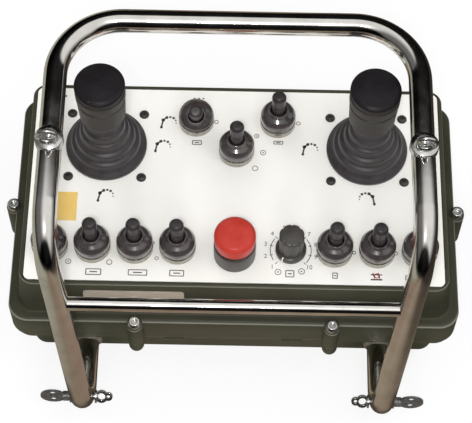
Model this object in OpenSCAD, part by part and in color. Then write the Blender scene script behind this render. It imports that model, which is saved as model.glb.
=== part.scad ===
// Radio remote control for a crane: a case with a sloping-sided cover, a pale control panel
// with two joysticks, ten booted toggle switches, a stop button and a speed knob, and a bent
// tube guard that carries the strap eyes. +X is the operator's right, +Y points away from the
// operator and the underside of the tub lies at zero height.

/* [Case] */
// Width of the case across its rim
case_w = 402; // [385:1:430]
// Depth of the case across its rim
case_d = 230; // [226:1:250]
// Height from the underside to the top of the control panel
case_h = 133; // [130:1:145]
// Height of the lower tub, up to the face that the cover stands on
tub_h = 52; // [46:1:56]
// Height of the broad rim band at the foot of the cover
rim_h = 34; // [26:1:38]
// Corner radius of the rim, seen from above
rim_r = 18; // [12:1:24]
// Wall thickness of the tub and of the cover
wall = 4; // [3:0.5:5]
// How far the tub's sides stand in from the rim
tub_inset = 15; // [12:1:20]
// Width of the ledge between the rim and the foot of the sloping sides
ledge_w = 9; // [7:0.5:11]
// How far the cover's sides lean in from their foot to their top
cover_lean = 5; // [2:0.5:7]
// Width of the edge left round the control panel
edge_w = 3.5; // [2.5:0.5:5]
// Thickness of the flange round the top of the tub
flange_t = 4; // [3:0.5:5]
// How far the tub's flange stands in from the rim
flange_back = 1.5; // [1:0.5:2.5]

/* [Case screws] */
// Radius of the lugs that take the case screws
lug_r = 7; // [6.5:0.5:9]
// How far a lug's centre stands outside the rim
lug_out = 2; // [1:0.5:4]
// Height of the tub's lugs, down from its flange face
lug_drop = 9; // [7:0.5:14]
// Distance of the front and rear lugs from the middle
lug_x = 87.5; // [70:0.5:110]
// Radius of a case screw's shank
case_screw_r = 2.9; // [2.4:0.1:3.2]
// Radius of a case screw's head
case_screw_head_r = 5.3; // [4.5:0.1:6]
// Height of a case screw's head
case_screw_head_h = 5.5; // [4:0.5:8]

/* [Control panel] */
// Thickness of the control panel
panel_t = 3; // [2:0.5:4]
// Corner radius of the control panel
panel_r = 5; // [3:0.5:8]
// Thickness of the seals under the panel and under the cover
seal_t = 1.5; // [1:0.25:2]
// Distance between two columns of the lower row of controls
column_pitch = 37.2; // [36:0.1:40]
// Distance of the innermost column from the middle
first_column_x = 50; // [44:0.5:54]
// Distance of the lower row of controls in front of the middle
lower_row_y = 65; // [60:0.5:70]
// Distance of the two upper toggles from the middle
upper_toggle_x = 37; // [35:0.5:42]
// Distance of the two upper toggles behind the middle
upper_toggle_y = 64; // [58:0.5:70]
// Distance of the single toggle behind the middle
middle_toggle_y = 33; // [26:0.5:36]

/* [Toggle switches] */
// Outer radius of the bright ring under a toggle's boot
ring_r = 16; // [14:0.5:17]
// Height of the bright ring
ring_h = 8; // [4:0.5:9]
// Outer radius of a toggle's rubber boot
boot_r = 15.7; // [12.5:0.1:15.8]
// Height of the boot's barrel above the ring
boot_h = 14; // [11:0.5:15]
// Radius of a toggle lever's cap
lever_r = 6.4; // [5:0.1:6.8]
// Height of a lever's tip above the control panel
lever_top = 48; // [40:0.5:52]
// How far a toggle lever leans from upright at the end of its throw
toggle_lean_angle = 22; // [12:1:22]

/* [Joysticks] */
// Distance of a joystick from the middle
stick_x = 117.5; // [110:0.5:122]
// Distance of the joysticks behind the middle
stick_y = 37.5; // [34:0.5:44]
// Depth of a joystick's pivot under the top of the panel
pivot_depth = 15; // [12:0.5:18]
// Height of a joystick's top above the panel
stick_top = 107; // [95:0.5:110]
// Height of the grip's lower edge above the panel
grip_foot = 57; // [52:0.5:62]
// Radius of the grip at its top
grip_r = 21.9; // [18:0.1:22.5]
// Radius of the grip at its lower edge
grip_foot_r = 20; // [16:0.1:21]
// Radius of the bellows at its foot
bellows_r = 36.5; // [33:0.5:38]
// Half the distance between two joystick screws
stick_screw_half = 32.7; // [31:0.1:34]
// Radius of a joystick screw's head
stick_screw_head_r = 4.4; // [3.5:0.1:5]

/* [Stop button] */
// Distance of the stop button in front of the middle
stop_y = 69; // [64:0.5:72]
// Radius of the stop button's red head
stop_head_r = 18; // [15:0.5:20]
// Height of the head's top above the panel
stop_top = 40; // [36:0.5:44]
// Thickness of the head
stop_head_h = 16; // [12:0.5:18]
// Travel of the button when it is pressed
stop_travel = 3; // [2:0.5:6]

/* [Speed knob] */
// Distance of the knob to the right of the middle
dial_x = 49; // [46:0.5:54]
// Radius of the knob's skirt
dial_skirt_r = 13.5; // [12:0.5:15]
// Radius of the knob's grip over its lobes
dial_grip_r = 10.3; // [9:0.1:11]
// Height of the knob above the panel
dial_top = 30; // [22:0.5:32]

/* [Guard tube] */
// Radius of the guard tube
tube_r = 10; // [8:0.5:10]
// Wall of the guard tube
tube_wall = 2; // [1.5:0.25:3]
// Distance of the guard's side rails from the middle
rail_x = 153.5; // [152:0.5:158]
// Height of the side rails above the panel
rail_rise = 118; // [117:0.5:126]
// How far the front bend's corner stands in front of the middle
front_corner_y = 121.4; // [118:0.2:128]
// How far the rear bar stands behind the middle
rear_bar_y = 93; // [88:0.5:100]
// Distance of the guard's feet from the middle
foot_x = 134; // [128:0.5:140]
// How far the lower bend's corner stands in front of the middle
foot_corner_y = 171.5; // [165:0.5:180]
// Height of the guard's feet above the underside
foot_z = 14; // [14:0.5:18]
// Bend radius at the feet
foot_bend_r = 22; // [20:1:26]
// Bend radius at the front of the rails
front_bend_r = 48; // [40:1:50]
// Bend radius at the rear corners
rear_bend_r = 55; // [45:1:60]
// Radius of the thin bar between the legs
bar_r = 6; // [5:0.5:7]
// Height of the thin bar above the panel
bar_rise = 40; // [30:1:50]

/* [Strap fittings] */
// How far the strap eyes stand in front of the middle
eye_y = 35; // [30:0.5:40]
// Hole radius of a strap eye
eye_hole_r = 6; // [5:0.5:6.5]
// Outer radius of a strap eye
eye_r = 10; // [9:0.5:10.5]
// Thickness of a strap eye
eye_t = 4; // [3:0.5:4]
// Radius of the pad that carries a strap eye
pad_r = 12; // [11:0.5:13]
// Radius of the swivel pin through a leg's lower bend
pin_r = 3; // [2.5:0.1:3.2]
// Radius of the round tag outside a leg
tag_r = 11.5; // [8:0.5:12]
// Thickness of the round tag
tag_t = 1.5; // [1:0.25:3]
// Thickness of the inner eye
eye_plate_t = 3; // [2.5:0.5:4]
// Hole radius of the inner eye
waist_hole_r = 3.5; // [2.5:0.5:4]

/* [Hidden] */

// Smoothness of round shapes
$fn = 64;
// Smoothness of the corners that are drawn as a hull
hull_fn = 32;
// How far a cut runs past the face that it opens
overrun = 1;
// Gap between a piece and the pocket or hole that it drops into
slip_gap = 0.5;
// Radial gap of a running fit
run_gap = 0.05;
// Gap between two pieces that meet but don't press
touch_gap = 0.05;

// The case
rim_z = tub_h;
ledge_z = tub_h + rim_h;
flange_z = tub_h - seal_t;
tub_w = case_w - 2 * tub_inset;
tub_d = case_d - 2 * tub_inset;
tub_r = rim_r - tub_inset / 3;
cover_foot_w = case_w - 2 * ledge_w;
cover_foot_d = case_d - 2 * ledge_w;
cover_foot_r = rim_r - ledge_w / 3;
cover_top_w = cover_foot_w - 2 * cover_lean;
cover_top_d = cover_foot_d - 2 * cover_lean;
cover_top_r = cover_foot_r - cover_lean / 2;
panel_w = cover_top_w - 2 * (edge_w + slip_gap);
panel_d = cover_top_d - 2 * (edge_w + slip_gap);
panel_z = case_h - panel_t;
panel_seal_z = panel_z - seal_t;
// Width of the shelf that the panel's seal lies on
shelf_w = 6;
// Thickness of the thin slices that a hull is stretched between
slice_t = 0.1;
// Width of the seal under the cover
case_seal_w = 6;
// Side of the two small closing tabs under the front of the rim
tab_w = 17;
tab_t = 2;
tab_h = 5;
tab_x = 53;

// Screws of the case
lug_z = flange_z - lug_drop;
// Step between a tub lug and its rounded end
lug_round_gap = 0.1;
lug_side_y = -1.5;
lug_front_y = case_d / 2 + lug_out;
lug_places = [
    [-lug_x, -lug_front_y], [lug_x, -lug_front_y], [-lug_x, lug_front_y], [lug_x, lug_front_y],
    [-case_w / 2 - lug_out, lug_side_y], [case_w / 2 + lug_out, lug_side_y]
];
// Gap round a case screw where it passes through the cover
screw_gap = 0.3;
// Length of a case screw left in its lug, measured up from the lug's lower face
case_screw_foot = 3;
// Key socket of a case screw, as shares of the head
socket_r_share = 0.5;
socket_depth_share = 0.55;

// The nameplate on the front of the cover
plate_w = 88;
plate_h = 25.5;
plate_t = 0.8;
plate_x = -87.5;
plate_r = 3;
plate_up = 12;

// The guard tube
rail_z = case_h + rail_rise;
wall_y = tub_d / 2;
tube_path = [
    [-foot_x, -wall_y, foot_z],
    [-foot_x, -foot_corner_y, foot_z],
    [-rail_x, -front_corner_y, rail_z],
    [-rail_x, rear_bar_y, rail_z],
    [rail_x, rear_bar_y, rail_z],
    [rail_x, -front_corner_y, rail_z],
    [foot_x, -foot_corner_y, foot_z],
    [foot_x, -wall_y, foot_z]
];
tube_bends = [foot_bend_r, front_bend_r, rear_bend_r, rear_bend_r, front_bend_r, foot_bend_r];

function unit(v) = v / norm(v);
function way_in(k) = unit(tube_path[k] - tube_path[k - 1]);
function way_out(k) = unit(tube_path[k + 1] - tube_path[k]);
function bend_angle(k) = acos(way_in(k) * way_out(k));
function bend_cut(k) = tube_bends[k - 1] * tan(bend_angle(k) / 2);
function bend_centre(k) =
    tube_path[k] + unit(way_out(k) - way_in(k)) * tube_bends[k - 1] / cos(bend_angle(k) / 2);
function bend_start(k) = tube_path[k] - way_in(k) * bend_cut(k);
function bend_end(k) = tube_path[k] + way_out(k) * bend_cut(k);
function bend_middle(k) =
    bend_centre(k) + unit(tube_path[k] - bend_centre(k)) * tube_bends[k - 1];

bend_last = len(tube_bends);
// Radius that the tube loses where it is bent
bend_loss = 0.05;
// Angle by which a bend runs into the straight lengths beside it
bend_lap = 0.5;
// Point of the right leg that the thin bar meets
leg_top = tube_path[5];
leg_foot = tube_path[6];
bar_z = case_h + bar_rise;
bar_at = leg_top + (leg_foot - leg_top) * (leg_top[2] - bar_z) / (leg_top[2] - leg_foot[2]);

// The guard's fixings at the front wall of the tub
collar_r = 13.5;
collar_t = 5;
plug_l = 22;
bolt_r = 4;
bolt_head_r = 6.5;
bolt_head_h = 7;

// The strap eyes on the rails
pad_t = 5;
pad_y = 29.5;
pad_z = rail_z + tube_r - pad_t / 2;
eye_edge = 1;
eye_sink = 1;
eye_z = pad_z + pad_t + eye_r - eye_sink;
eye_screw_r = 2.5;
eye_screw_head_r = 3.8;
eye_screw_head_h = 3.5;
eye_screw_l = 9;
eye_screw_y = 28;

// The swivel pins at the lower bends
pin_at = bend_middle(bend_last);
washer_r = 6;
washer_t = 1.5;
// Gap between a washer and the tube's side, which leans outwards under it
washer_gap = touch_gap + washer_r * (rail_x - foot_x) / (rail_z - foot_z);
washer_out = tube_r + washer_gap;
lobe_r = 5.8;
lobe_out = 16.4;
small_lobe_r = 3.8;
small_lobe_out = 22.6;
small_hole_r = 1.7;
tag_out = 27.5;
// How far the inner eye and the tag are turned back from upright, in degrees
eye_turn_angle = 48;
tag_turn_angle = 4;
tag_hole_r = 2.7;
tag_hole_up = 6;
hub_r = 4.5;
hub_l = 5;

// The joysticks
pivot_z = case_h - pivot_depth;
housing_flange_half = 38;
housing_flange_t = 4;
housing_r = 27;
housing_bore_r = 22;
housing_l = 44;
housing_floor = 4;
gimbal_r = 17;
gimbal_hole_r = 12.5;
gimbal_h = 8;
trunnion_r = 3;
cross_pin_r = 2.5;
shaft_r = 4;
shaft_hub_r = 8;
shaft_tail_r = 3;
shaft_tail_l = 18;
shaft_in_grip = 26;
disc_r = 13;
disc_t = 2;
disc_rise = 13;
stop_ring_r = 8;
stop_ring_t = 2;
spring_r = 8.2;
spring_wire_r = 0.8;
spring_l = 22;
spring_curls = 6;
grip_groove = 0.9;
groove_half = 0.8;
cap_h = 8;
cap_crown = 3;
neck_r = 14.5;
bellows_t = 1.6;
stick_screw_r = 2.4;
stick_screw_head_h = 2.8;
stick_screw_l = 9;
panel_stick_hole_r = 28;
// Ring radii and heights of the bellows, as shares of its foot radius and of its height
bellows_out_shares = [
    1, 0.995, 0.915, 0.85, 0.833, 0.74, 0.718, 0.625, 0.597, 0.592, 0.515, 0.499, 0.433, 0.4, 0.39
];
bellows_up_shares = [
    0, 0.056, 0.1, 0.145, 0.24, 0.27, 0.395, 0.427, 0.5, 0.554, 0.586, 0.709, 0.744, 0.83, 1
];
bellows_last = len(bellows_up_shares) - 1;

// The toggle switches
toggle_pivot_up = 6;
toggle_pivot_z = case_h + toggle_pivot_up;
bushing_r = 6;
bushing_up = 8;
socket_len = 1.6;
ball_r = 3;
stem_r = 2.4;
tail_r = 1.4;
tail_l = 7;
pivot_pin_r = 0.9;
pivot_pin_end = 0.4;
tail_bore_r = 5;
switch_flange_r = 12;
switch_flange_t = 3;
switch_half = 11;
switch_l = 22;
boot_wall = 2;
boot_shoulder = 4.5;
boot_collar_r = 8.6;
boot_collar_h = 3;
boot_gap = 0.3;
ring_edge = 1.2;
cap_edge = 1.5;
cap_foot = 1;
toggle_places = concat(
    [[-upper_toggle_x, upper_toggle_y], [0, middle_toggle_y], [upper_toggle_x, upper_toggle_y]],
    [for (k = [3 : -1 : 0]) [-first_column_x - k * column_pitch, -lower_row_y]],
    [for (k = [1 : 3]) [first_column_x + k * column_pitch, -lower_row_y]]
);
// The first toggle stands thrown towards the operator, the others upright
toggle_leans = [for (k = [0 : len(toggle_places) - 1]) k == 0 ? toggle_lean_angle : 0];

// The stop button
stop_neck_r = 11;
stop_neck_l = 20;
plunger_r = 8;
plunger_gap = 0.1;
plunger_neck_r = 4.5;
plunger_neck_l = 8;
spring_well_r = 13.5;
spring_well_floor = 8;
clip_r = 9.5;
clip_t = 1.8;
clip_gap = 0.2;
clip_foot = 2;
stop_collar_over = 0.3;
stop_collar_h = stop_top - stop_head_h - stop_travel - slip_gap;
stop_collar_r = stop_head_r + stop_collar_over;
stop_nut_r = 15;
stop_nut_h = 5;
contacts_w = 42;
contacts_d = 30;
contacts_h = 26;
contacts_well = 12;
stop_spring_curls = 5;
stop_spring_r = 11.4;
stop_spring_wire_r = 0.8;
head_edge = 3.5;

// The speed knob
dial_shaft_r = 3;
dial_bushing_r = 4.6;
dial_bushing_up = 4;
dial_body_r = 12;
dial_body_l = 14;
dial_lobes = 8;
dial_lobe_r = 2.9;
dial_skirt_h = 5;
dial_clear = 0.8;
dial_nut_r = 7.5;
dial_nut_h = 2.5;
// How far the knob's shaft reaches up, as a share of the knob's height
dial_shaft_share = 0.7;

// The electronics and the battery
board_w = 300;
board_d = 150;
board_t = 1.6;
board_z = 62;
board_corner_r = 3;
standoff_r = 4;
standoff_hole_r = 1.6;
// How far the standoffs stand in from the board's edges
standoff_in_x = 10;
standoff_in_y = 9;
standoff_x = board_w / 2 - standoff_in_x;
standoff_y = board_d / 2 - standoff_in_y;
module_w = 62;
module_d = 38;
module_h = 10;
// How far the radio module and the antenna stand in from the board's rear edge
module_in = 30;
module_y = board_d / 2 - module_in;
antenna_r = 3.5;
// Room between the antenna's tip and the panel
antenna_clear = 14.35;
antenna_x = 64;
antenna_in = 25;
antenna_y = board_d / 2 - antenna_in;
plate_hole_w = 142;
plate_hole_d = 82;
plate_ledge = 8;
service_t = 2;
service_y = 50;
service_r = 4;
battery_gap = 1.5;
battery_h = 46;
plate_screw_in = 4;
plate_screw_r = 1.5;
plate_screw_head_r = 2.6;
plate_screw_head_t = 0.4;
plate_screw_l = 8;
plate_boss_r = 3.6;
plate_boss_h = 10;

// Solid with rounded vertical edges, standing on zero height
module slab(w, d, h, r) {
    linear_extrude(h) union() {
        square([w - 2 * r, d], center = true);
        square([w, d - 2 * r], center = true);
        for (sx = [-1, 1], sy = [-1, 1])
            translate([sx * (w / 2 - r), sy * (d / 2 - r)]) circle(r);
    }
}

// Cylinder that runs along X or Y, centred on its middle
module bar_x(r, l) {
    rotate([0, 90, 0]) cylinder(r = r, h = l, center = true);
}

module bar_y(r, l) {
    rotate([90, 0, 0]) cylinder(r = r, h = l, center = true);
}

// Cylinder from one point to another
module rod(a, b, r) {
    d = b - a;
    translate(a) rotate([0, acos(d[2] / norm(d)), atan2(d[1], d[0])]) cylinder(r = r, h = norm(d));
}

// Straight and bent lengths of the guard tube, as a bar of the given radius
module tube_bar(r) {
    for (k = [1 : bend_last]) {
        e1 = unit(bend_start(k) - bend_centre(k));
        e2 = way_in(k);
        e3 = cross(e1, e2);
        c = bend_centre(k);
        multmatrix([
            [e1[0], e2[0], e3[0], c[0]],
            [e1[1], e2[1], e3[1], c[1]],
            [e1[2], e2[2], e3[2], c[2]],
            [0, 0, 0, 1]
        ]) rotate([0, 0, -bend_lap]) rotate_extrude(angle = bend_angle(k) + 2 * bend_lap)
            translate([tube_bends[k - 1], 0]) circle(r - bend_loss);
    }
    rod(tube_path[0], bend_start(1), r);
    for (k = [1 : bend_last - 1]) rod(bend_end(k), bend_start(k + 1), r);
    rod(bend_end(bend_last), tube_path[bend_last + 1], r);
}

// Wire wound into a coil that stands on zero height, as one closed tube
module coil(r, wire_r, h, curls, steps = 8, sides = 6) {
    rings = curls * steps;
    rise = h - 2 * wire_r;
    points = [
        for (i = [0 : rings], j = [0 : sides - 1])
        let (
            a = 360 * i / steps,
            b = 360 * j / sides,
            out = r + wire_r * cos(b)
        )
        [out * cos(a), out * sin(a), wire_r + rise * i / rings + wire_r * sin(b)]
    ];
    skin = [
        for (i = [0 : rings - 1], j = [0 : sides - 1])
        let (
            a = i * sides + j,
            b = i * sides + (j + 1) % sides
        )
        each [[a, b + sides, b], [a, a + sides, b + sides]]
    ];
    foot = [for (j = [1 : sides - 2]) [0, j, j + 1]];
    head = [for (j = [1 : sides - 2]) [rings * sides, rings * sides + j + 1, rings * sides + j]];
    polyhedron(points, concat(skin, foot, head), convexity = 10);
}

module at_lugs() {
    for (p = lug_places) translate([p[0], p[1], 0]) children();
}

module lower_case() color("darkolivegreen") {
    difference() {
        union() {
            slab(tub_w, tub_d, flange_z, tub_r);
            translate([0, 0, flange_z - flange_t])
                slab(case_w - 2 * flange_back, case_d - 2 * flange_back, flange_t, rim_r);
            at_lugs() translate([0, 0, lug_z]) {
                cylinder(r = lug_r, h = lug_drop);
                sphere(r = lug_r - lug_round_gap);
            }
            for (s = [-1, 1])
                translate([s * tab_x - tab_w / 2, -case_d / 2 - tab_t + flange_back, flange_z - tab_h])
                    cube([tab_w, tab_t + wall, tab_h]);
        }
        difference() {
            translate([0, 0, wall]) slab(tub_w - 2 * wall, tub_d - 2 * wall, tub_h, tub_r - wall / 2);
            at_plate_screws() cylinder(r = plate_boss_r, h = plate_boss_h);
        }
        at_lugs() translate([0, 0, lug_z]) cylinder(r = case_screw_r + run_gap, h = tub_h);
        for (s = [-1, 1]) translate([s * foot_x, -wall_y, foot_z]) bar_y(bolt_r + screw_gap, 4 * wall);
        translate([0, service_y, -overrun]) {
            slab(plate_hole_w - 2 * plate_ledge, plate_hole_d - 2 * plate_ledge, tub_h, service_r);
            slab(plate_hole_w, plate_hole_d, service_t + overrun, service_r);
        }
        at_plate_screws() plate_screw(run_gap, overrun);
    }
}

module cover_sides() {
    hull() {
        translate([0, 0, ledge_z]) slab(cover_foot_w, cover_foot_d, slice_t, cover_foot_r, $fn = hull_fn);
        translate([0, 0, case_h - slice_t])
            slab(cover_top_w, cover_top_d, slice_t, cover_top_r, $fn = hull_fn);
    }
}

module upper_cover() color("darkolivegreen") {
    difference() {
        union() {
            translate([0, 0, rim_z]) slab(case_w, case_d, rim_h, rim_r);
            cover_sides();
            at_lugs() translate([0, 0, rim_z]) cylinder(r = lug_r, h = rim_h);
        }
        translate([0, 0, rim_z - overrun])
            slab(case_w - 2 * wall, case_d - 2 * wall, rim_h - wall + overrun, rim_r - wall);
        translate([0, 0, rim_z])
            slab(panel_w - 2 * shelf_w, panel_d - 2 * shelf_w, case_h, panel_r);
        translate([0, 0, panel_seal_z])
            slab(panel_w + 2 * slip_gap, panel_d + 2 * slip_gap, case_h, panel_r + slip_gap);
        at_lugs() translate([0, 0, rim_z - overrun]) cylinder(r = case_screw_r + screw_gap, h = case_h);
    }
}

module case_seal() color("dimgray") {
    translate([0, 0, flange_z]) difference() {
        slab(case_w - 4 * flange_back, case_d - 4 * flange_back, seal_t, rim_r - flange_back);
        translate([0, 0, -overrun])
            slab(case_w - 4 * flange_back - 2 * case_seal_w, case_d - 4 * flange_back - 2 * case_seal_w,
                seal_t + 2 * overrun, rim_r - wall);
    }
}

module at_sticks() {
    for (s = [-1, 1]) translate([s * stick_x, stick_y, 0]) children();
}

module at_stick_screws() {
    for (sx = [-1, 1], sy = [-1, 1])
        translate([sx * stick_screw_half, sy * stick_screw_half, 0]) children();
}

module at_toggles() {
    for (p = toggle_places) translate([p[0], p[1], 0]) children();
}

module control_panel() color("ivory") {
    translate([0, 0, panel_z]) difference() {
        slab(panel_w, panel_d, panel_t, panel_r);
        translate([0, 0, -overrun]) {
            at_sticks() {
                cylinder(r = panel_stick_hole_r, h = panel_t + 2 * overrun);
                at_stick_screws() cylinder(r = stick_screw_r + screw_gap, h = panel_t + 2 * overrun);
            }
            at_toggles() cylinder(r = bushing_r + screw_gap, h = panel_t + 2 * overrun);
            translate([0, -stop_y, 0]) cylinder(r = stop_neck_r + screw_gap, h = panel_t + 2 * overrun);
            translate([dial_x, -lower_row_y, 0])
                cylinder(r = dial_bushing_r + screw_gap, h = panel_t + 2 * overrun);
        }
    }
}

module panel_seal() color("dimgray") {
    translate([0, 0, panel_seal_z]) difference() {
        slab(panel_w, panel_d, seal_t, panel_r);
        translate([0, 0, -overrun])
            slab(panel_w - 2 * shelf_w, panel_d - 2 * shelf_w, seal_t + 2 * overrun, panel_r);
    }
}

module case_screws() color("silver") {
    at_lugs() translate([0, 0, ledge_z]) difference() {
        union() {
            cylinder(r = case_screw_head_r, h = case_screw_head_h);
            translate([0, 0, lug_z + case_screw_foot - ledge_z])
                cylinder(r = case_screw_r, h = ledge_z - lug_z - case_screw_foot);
        }
        translate([0, 0, case_screw_head_h * (1 - socket_depth_share)])
            cylinder(r = case_screw_head_r * socket_r_share, h = case_screw_head_h, $fn = 6);
    }
}

module nameplate() color("silver") {
    lean = atan(cover_lean / (case_h - ledge_z));
    translate([plate_x, -cover_foot_d / 2, ledge_z]) rotate([90 - lean, 0, 0])
        translate([0, plate_up + plate_h / 2, touch_gap]) slab(plate_w, plate_h, plate_t, plate_r);
}

module guard_hoop() color("silver") {
    difference() {
        tube_bar(tube_r);
        difference() {
            tube_bar(tube_r - tube_wall);
            at_feet() translate([0, -plug_l / 2, 0]) bar_y(2 * tube_r, plug_l);
        }
        at_feet() bar_y(bolt_r + run_gap, 2 * plug_l + 2 * overrun);
        for (s = [-1, 1]) {
            translate([s * pin_at[0], pin_at[1], pin_at[2]]) bar_x(pin_r + run_gap, 4 * tube_r);
            translate([s * rail_x, -eye_screw_y, rail_z])
                cylinder(r = eye_screw_r + run_gap, h = 2 * tube_r);
        }
    }
}

module cross_bar() color("silver") {
    difference() {
        translate([0, bar_at[1], bar_at[2]]) bar_x(bar_r, 2 * bar_at[0]);
        for (k = [1, bend_last - 1]) rod(bend_end(k), bend_start(k + 1), tube_r + touch_gap);
    }
}

module at_feet() {
    for (s = [-1, 1]) translate([s * foot_x, -wall_y, foot_z]) children();
}

module hoop_collars() color("silver") {
    at_feet() difference() {
        translate([0, -collar_t / 2 - touch_gap, 0]) bar_y(collar_r, collar_t);
        bar_y(tube_r + run_gap, 4 * collar_t);
    }
}

module hoop_end_bolts() color("silver") {
    at_feet() {
        translate([0, wall + bolt_head_h / 2, 0]) bar_y(bolt_head_r, bolt_head_h);
        translate([0, (wall - plug_l) / 2, 0]) bar_y(bolt_r, plug_l + wall);
    }
}

module strap_eyes() color("silver") {
    for (s = [-1, 1]) translate([s * rail_x, 0, 0]) difference() {
        union() {
            translate([0, -pad_y, pad_z]) cylinder(r = pad_r, h = pad_t);
            translate([0, -eye_y, eye_z]) rotate([90, 0, 0]) rotate_extrude() polygon([
                [eye_hole_r, -eye_t / 2 + eye_edge], [eye_hole_r + eye_edge, -eye_t / 2],
                [eye_r - eye_edge, -eye_t / 2], [eye_r, -eye_t / 2 + eye_edge],
                [eye_r, eye_t / 2 - eye_edge], [eye_r - eye_edge, eye_t / 2],
                [eye_hole_r + eye_edge, eye_t / 2], [eye_hole_r, eye_t / 2 - eye_edge]
            ]);
        }
        translate([0, -pad_y, rail_z]) bar_y(tube_r + touch_gap, 4 * pad_r);
        translate([0, -eye_screw_y, rail_z]) cylinder(r = eye_screw_r + run_gap, h = 4 * tube_r);
    }
}

module eye_screws() color("silver") {
    for (s = [-1, 1]) translate([s * rail_x, -eye_screw_y, pad_z + pad_t]) {
        cylinder(r = eye_screw_head_r, h = eye_screw_head_h);
        translate([0, 0, -eye_screw_l]) cylinder(r = eye_screw_r, h = eye_screw_l);
    }
}

// Swivel pin through the lower bend of the leg on side s, with its inner eye
module strap_pin(s) color("silver") {
    translate([s * pin_at[0], pin_at[1], pin_at[2]]) rotate([-eye_turn_angle, 0, 0]) difference() {
        union() {
            rod([s * (tag_out - tag_r - run_gap), 0, 0], [-s * (lobe_out - waist_hole_r), 0, 0], pin_r);
            translate([-s * lobe_out, 0, 0]) bar_y(lobe_r, eye_plate_t);
            translate([-s * small_lobe_out, 0, 0]) bar_y(small_lobe_r, eye_plate_t);
            translate([-s * (washer_out + washer_t / 2), 0, 0]) bar_x(washer_r, washer_t);
        }
        translate([-s * lobe_out, 0, 0]) bar_y(waist_hole_r, 2 * eye_plate_t + 2 * pin_r);
        translate([-s * small_lobe_out, 0, 0]) bar_y(small_hole_r, 2 * eye_plate_t);
    }
}

// Round tag that is screwed to the outer end of the pin on side s
module strap_tag(s) color("silver") {
    translate([s * pin_at[0], pin_at[1], pin_at[2]]) rotate([-tag_turn_angle, 0, 0]) difference() {
        union() {
            translate([s * tag_out, 0, 0]) bar_y(tag_r, tag_t);
            rod([s * washer_out, 0, 0], [s * (washer_out + washer_t), 0, 0], washer_r);
            rod([s * (washer_out + washer_t / 2), 0, 0], [s * (tag_out - tag_r + hub_l / 2), 0, 0], hub_r);
        }
        rod([0, 0, 0], [s * (tag_out - tag_r), 0, 0], pin_r + run_gap);
        for (up = [-1, 1]) translate([s * tag_out, 0, up * tag_hole_up]) bar_y(tag_hole_r, 2 * tag_t);
    }
}

module joystick_housings() color("dimgray") {
    at_sticks() difference() {
        union() {
            translate([0, 0, panel_z - housing_flange_t])
                slab(2 * housing_flange_half, 2 * housing_flange_half, housing_flange_t, panel_r);
            translate([0, 0, panel_z - housing_l]) cylinder(r = housing_r, h = housing_l);
            at_stick_screws() translate([0, 0, panel_z - stick_screw_l])
                cylinder(r = stick_screw_head_r, h = stick_screw_l);
        }
        translate([0, 0, panel_z - housing_l + housing_floor]) cylinder(r = housing_bore_r, h = housing_l);
        translate([0, 0, pivot_z]) bar_x(trunnion_r + run_gap, 4 * housing_r);
        at_stick_screws() translate([0, 0, panel_z - 2 * stick_screw_l])
            cylinder(r = stick_screw_r + run_gap, h = 3 * stick_screw_l);
    }
}

module joystick_screws() color("dimgray") {
    at_sticks() at_stick_screws() translate([0, 0, case_h]) {
        intersection() {
            cylinder(r = stick_screw_head_r, h = stick_screw_head_h);
            translate([0, 0, stick_screw_head_h - 2 * stick_screw_head_r])
                sphere(r = 2 * stick_screw_head_r);
        }
        translate([0, 0, -stick_screw_l]) cylinder(r = stick_screw_r, h = stick_screw_l);
    }
}

// Ribbed rubber bellows between the panel and the grip of the joystick on side s
module bellows(s) color("black") {
    outer = [
        for (k = [0 : bellows_last])
        [bellows_out_shares[k] * bellows_r, bellows_up_shares[k] * (grip_foot - boot_gap)]
    ];
    inner = [
        for (k = [bellows_last : -1 : 0])
        [outer[k][0] - bellows_t, outer[k][1]]
    ];
    translate([s * stick_x, stick_y, case_h]) rotate_extrude() polygon(concat(outer, inner));
}

module gimbal(s) color("gray") {
    translate([s * stick_x, stick_y, pivot_z]) difference() {
        union() {
            translate([0, 0, -gimbal_h / 2]) cylinder(r = gimbal_r, h = gimbal_h);
            bar_x(trunnion_r, 2 * housing_r - wall);
        }
        translate([0, 0, -gimbal_h]) cylinder(r = gimbal_hole_r, h = 2 * gimbal_h);
        bar_y(cross_pin_r + run_gap, 4 * gimbal_r);
    }
}

module shaft(s) color("lightgray") {
    translate([s * stick_x, stick_y, pivot_z]) {
        sphere(r = shaft_hub_r);
        bar_y(cross_pin_r, 2 * gimbal_r - 2 * slip_gap);
        translate([0, 0, -shaft_tail_l]) cylinder(r = shaft_tail_r, h = shaft_tail_l);
        cylinder(r = shaft_r, h = pivot_depth + grip_foot + shaft_in_grip);
        translate([0, 0, disc_rise - disc_t]) cylinder(r = disc_r, h = disc_t);
        translate([0, 0, disc_rise + spring_l]) cylinder(r = stop_ring_r + spring_wire_r, h = stop_ring_t);
    }
}

module centring_spring(s) color("silver") {
    translate([s * stick_x, stick_y, pivot_z + disc_rise + touch_gap])
        coil(spring_r, spring_wire_r, spring_l - 2 * touch_gap, spring_curls);
}

module grip(s) color("black") {
    cap_z = stick_top - cap_h;
    translate([s * stick_x, stick_y, case_h]) difference() {
        rotate_extrude() polygon([
            [0, grip_foot], [grip_foot_r - grip_groove, grip_foot], [grip_foot_r, grip_foot + grip_groove],
            [grip_r, cap_z - 8 * groove_half], [grip_r - grip_groove, cap_z - 7 * groove_half],
            [grip_r - grip_groove, cap_z - 6 * groove_half], [grip_r, cap_z - 5 * groove_half],
            [grip_r, cap_z - 2 * groove_half], [grip_r - grip_groove, cap_z - groove_half],
            [grip_r - grip_groove, cap_z], [0, cap_z]
        ]);
        translate([0, 0, grip_foot - overrun])
            cylinder(r = shaft_r + run_gap, h = shaft_in_grip + overrun + slip_gap);
    }
}

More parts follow.
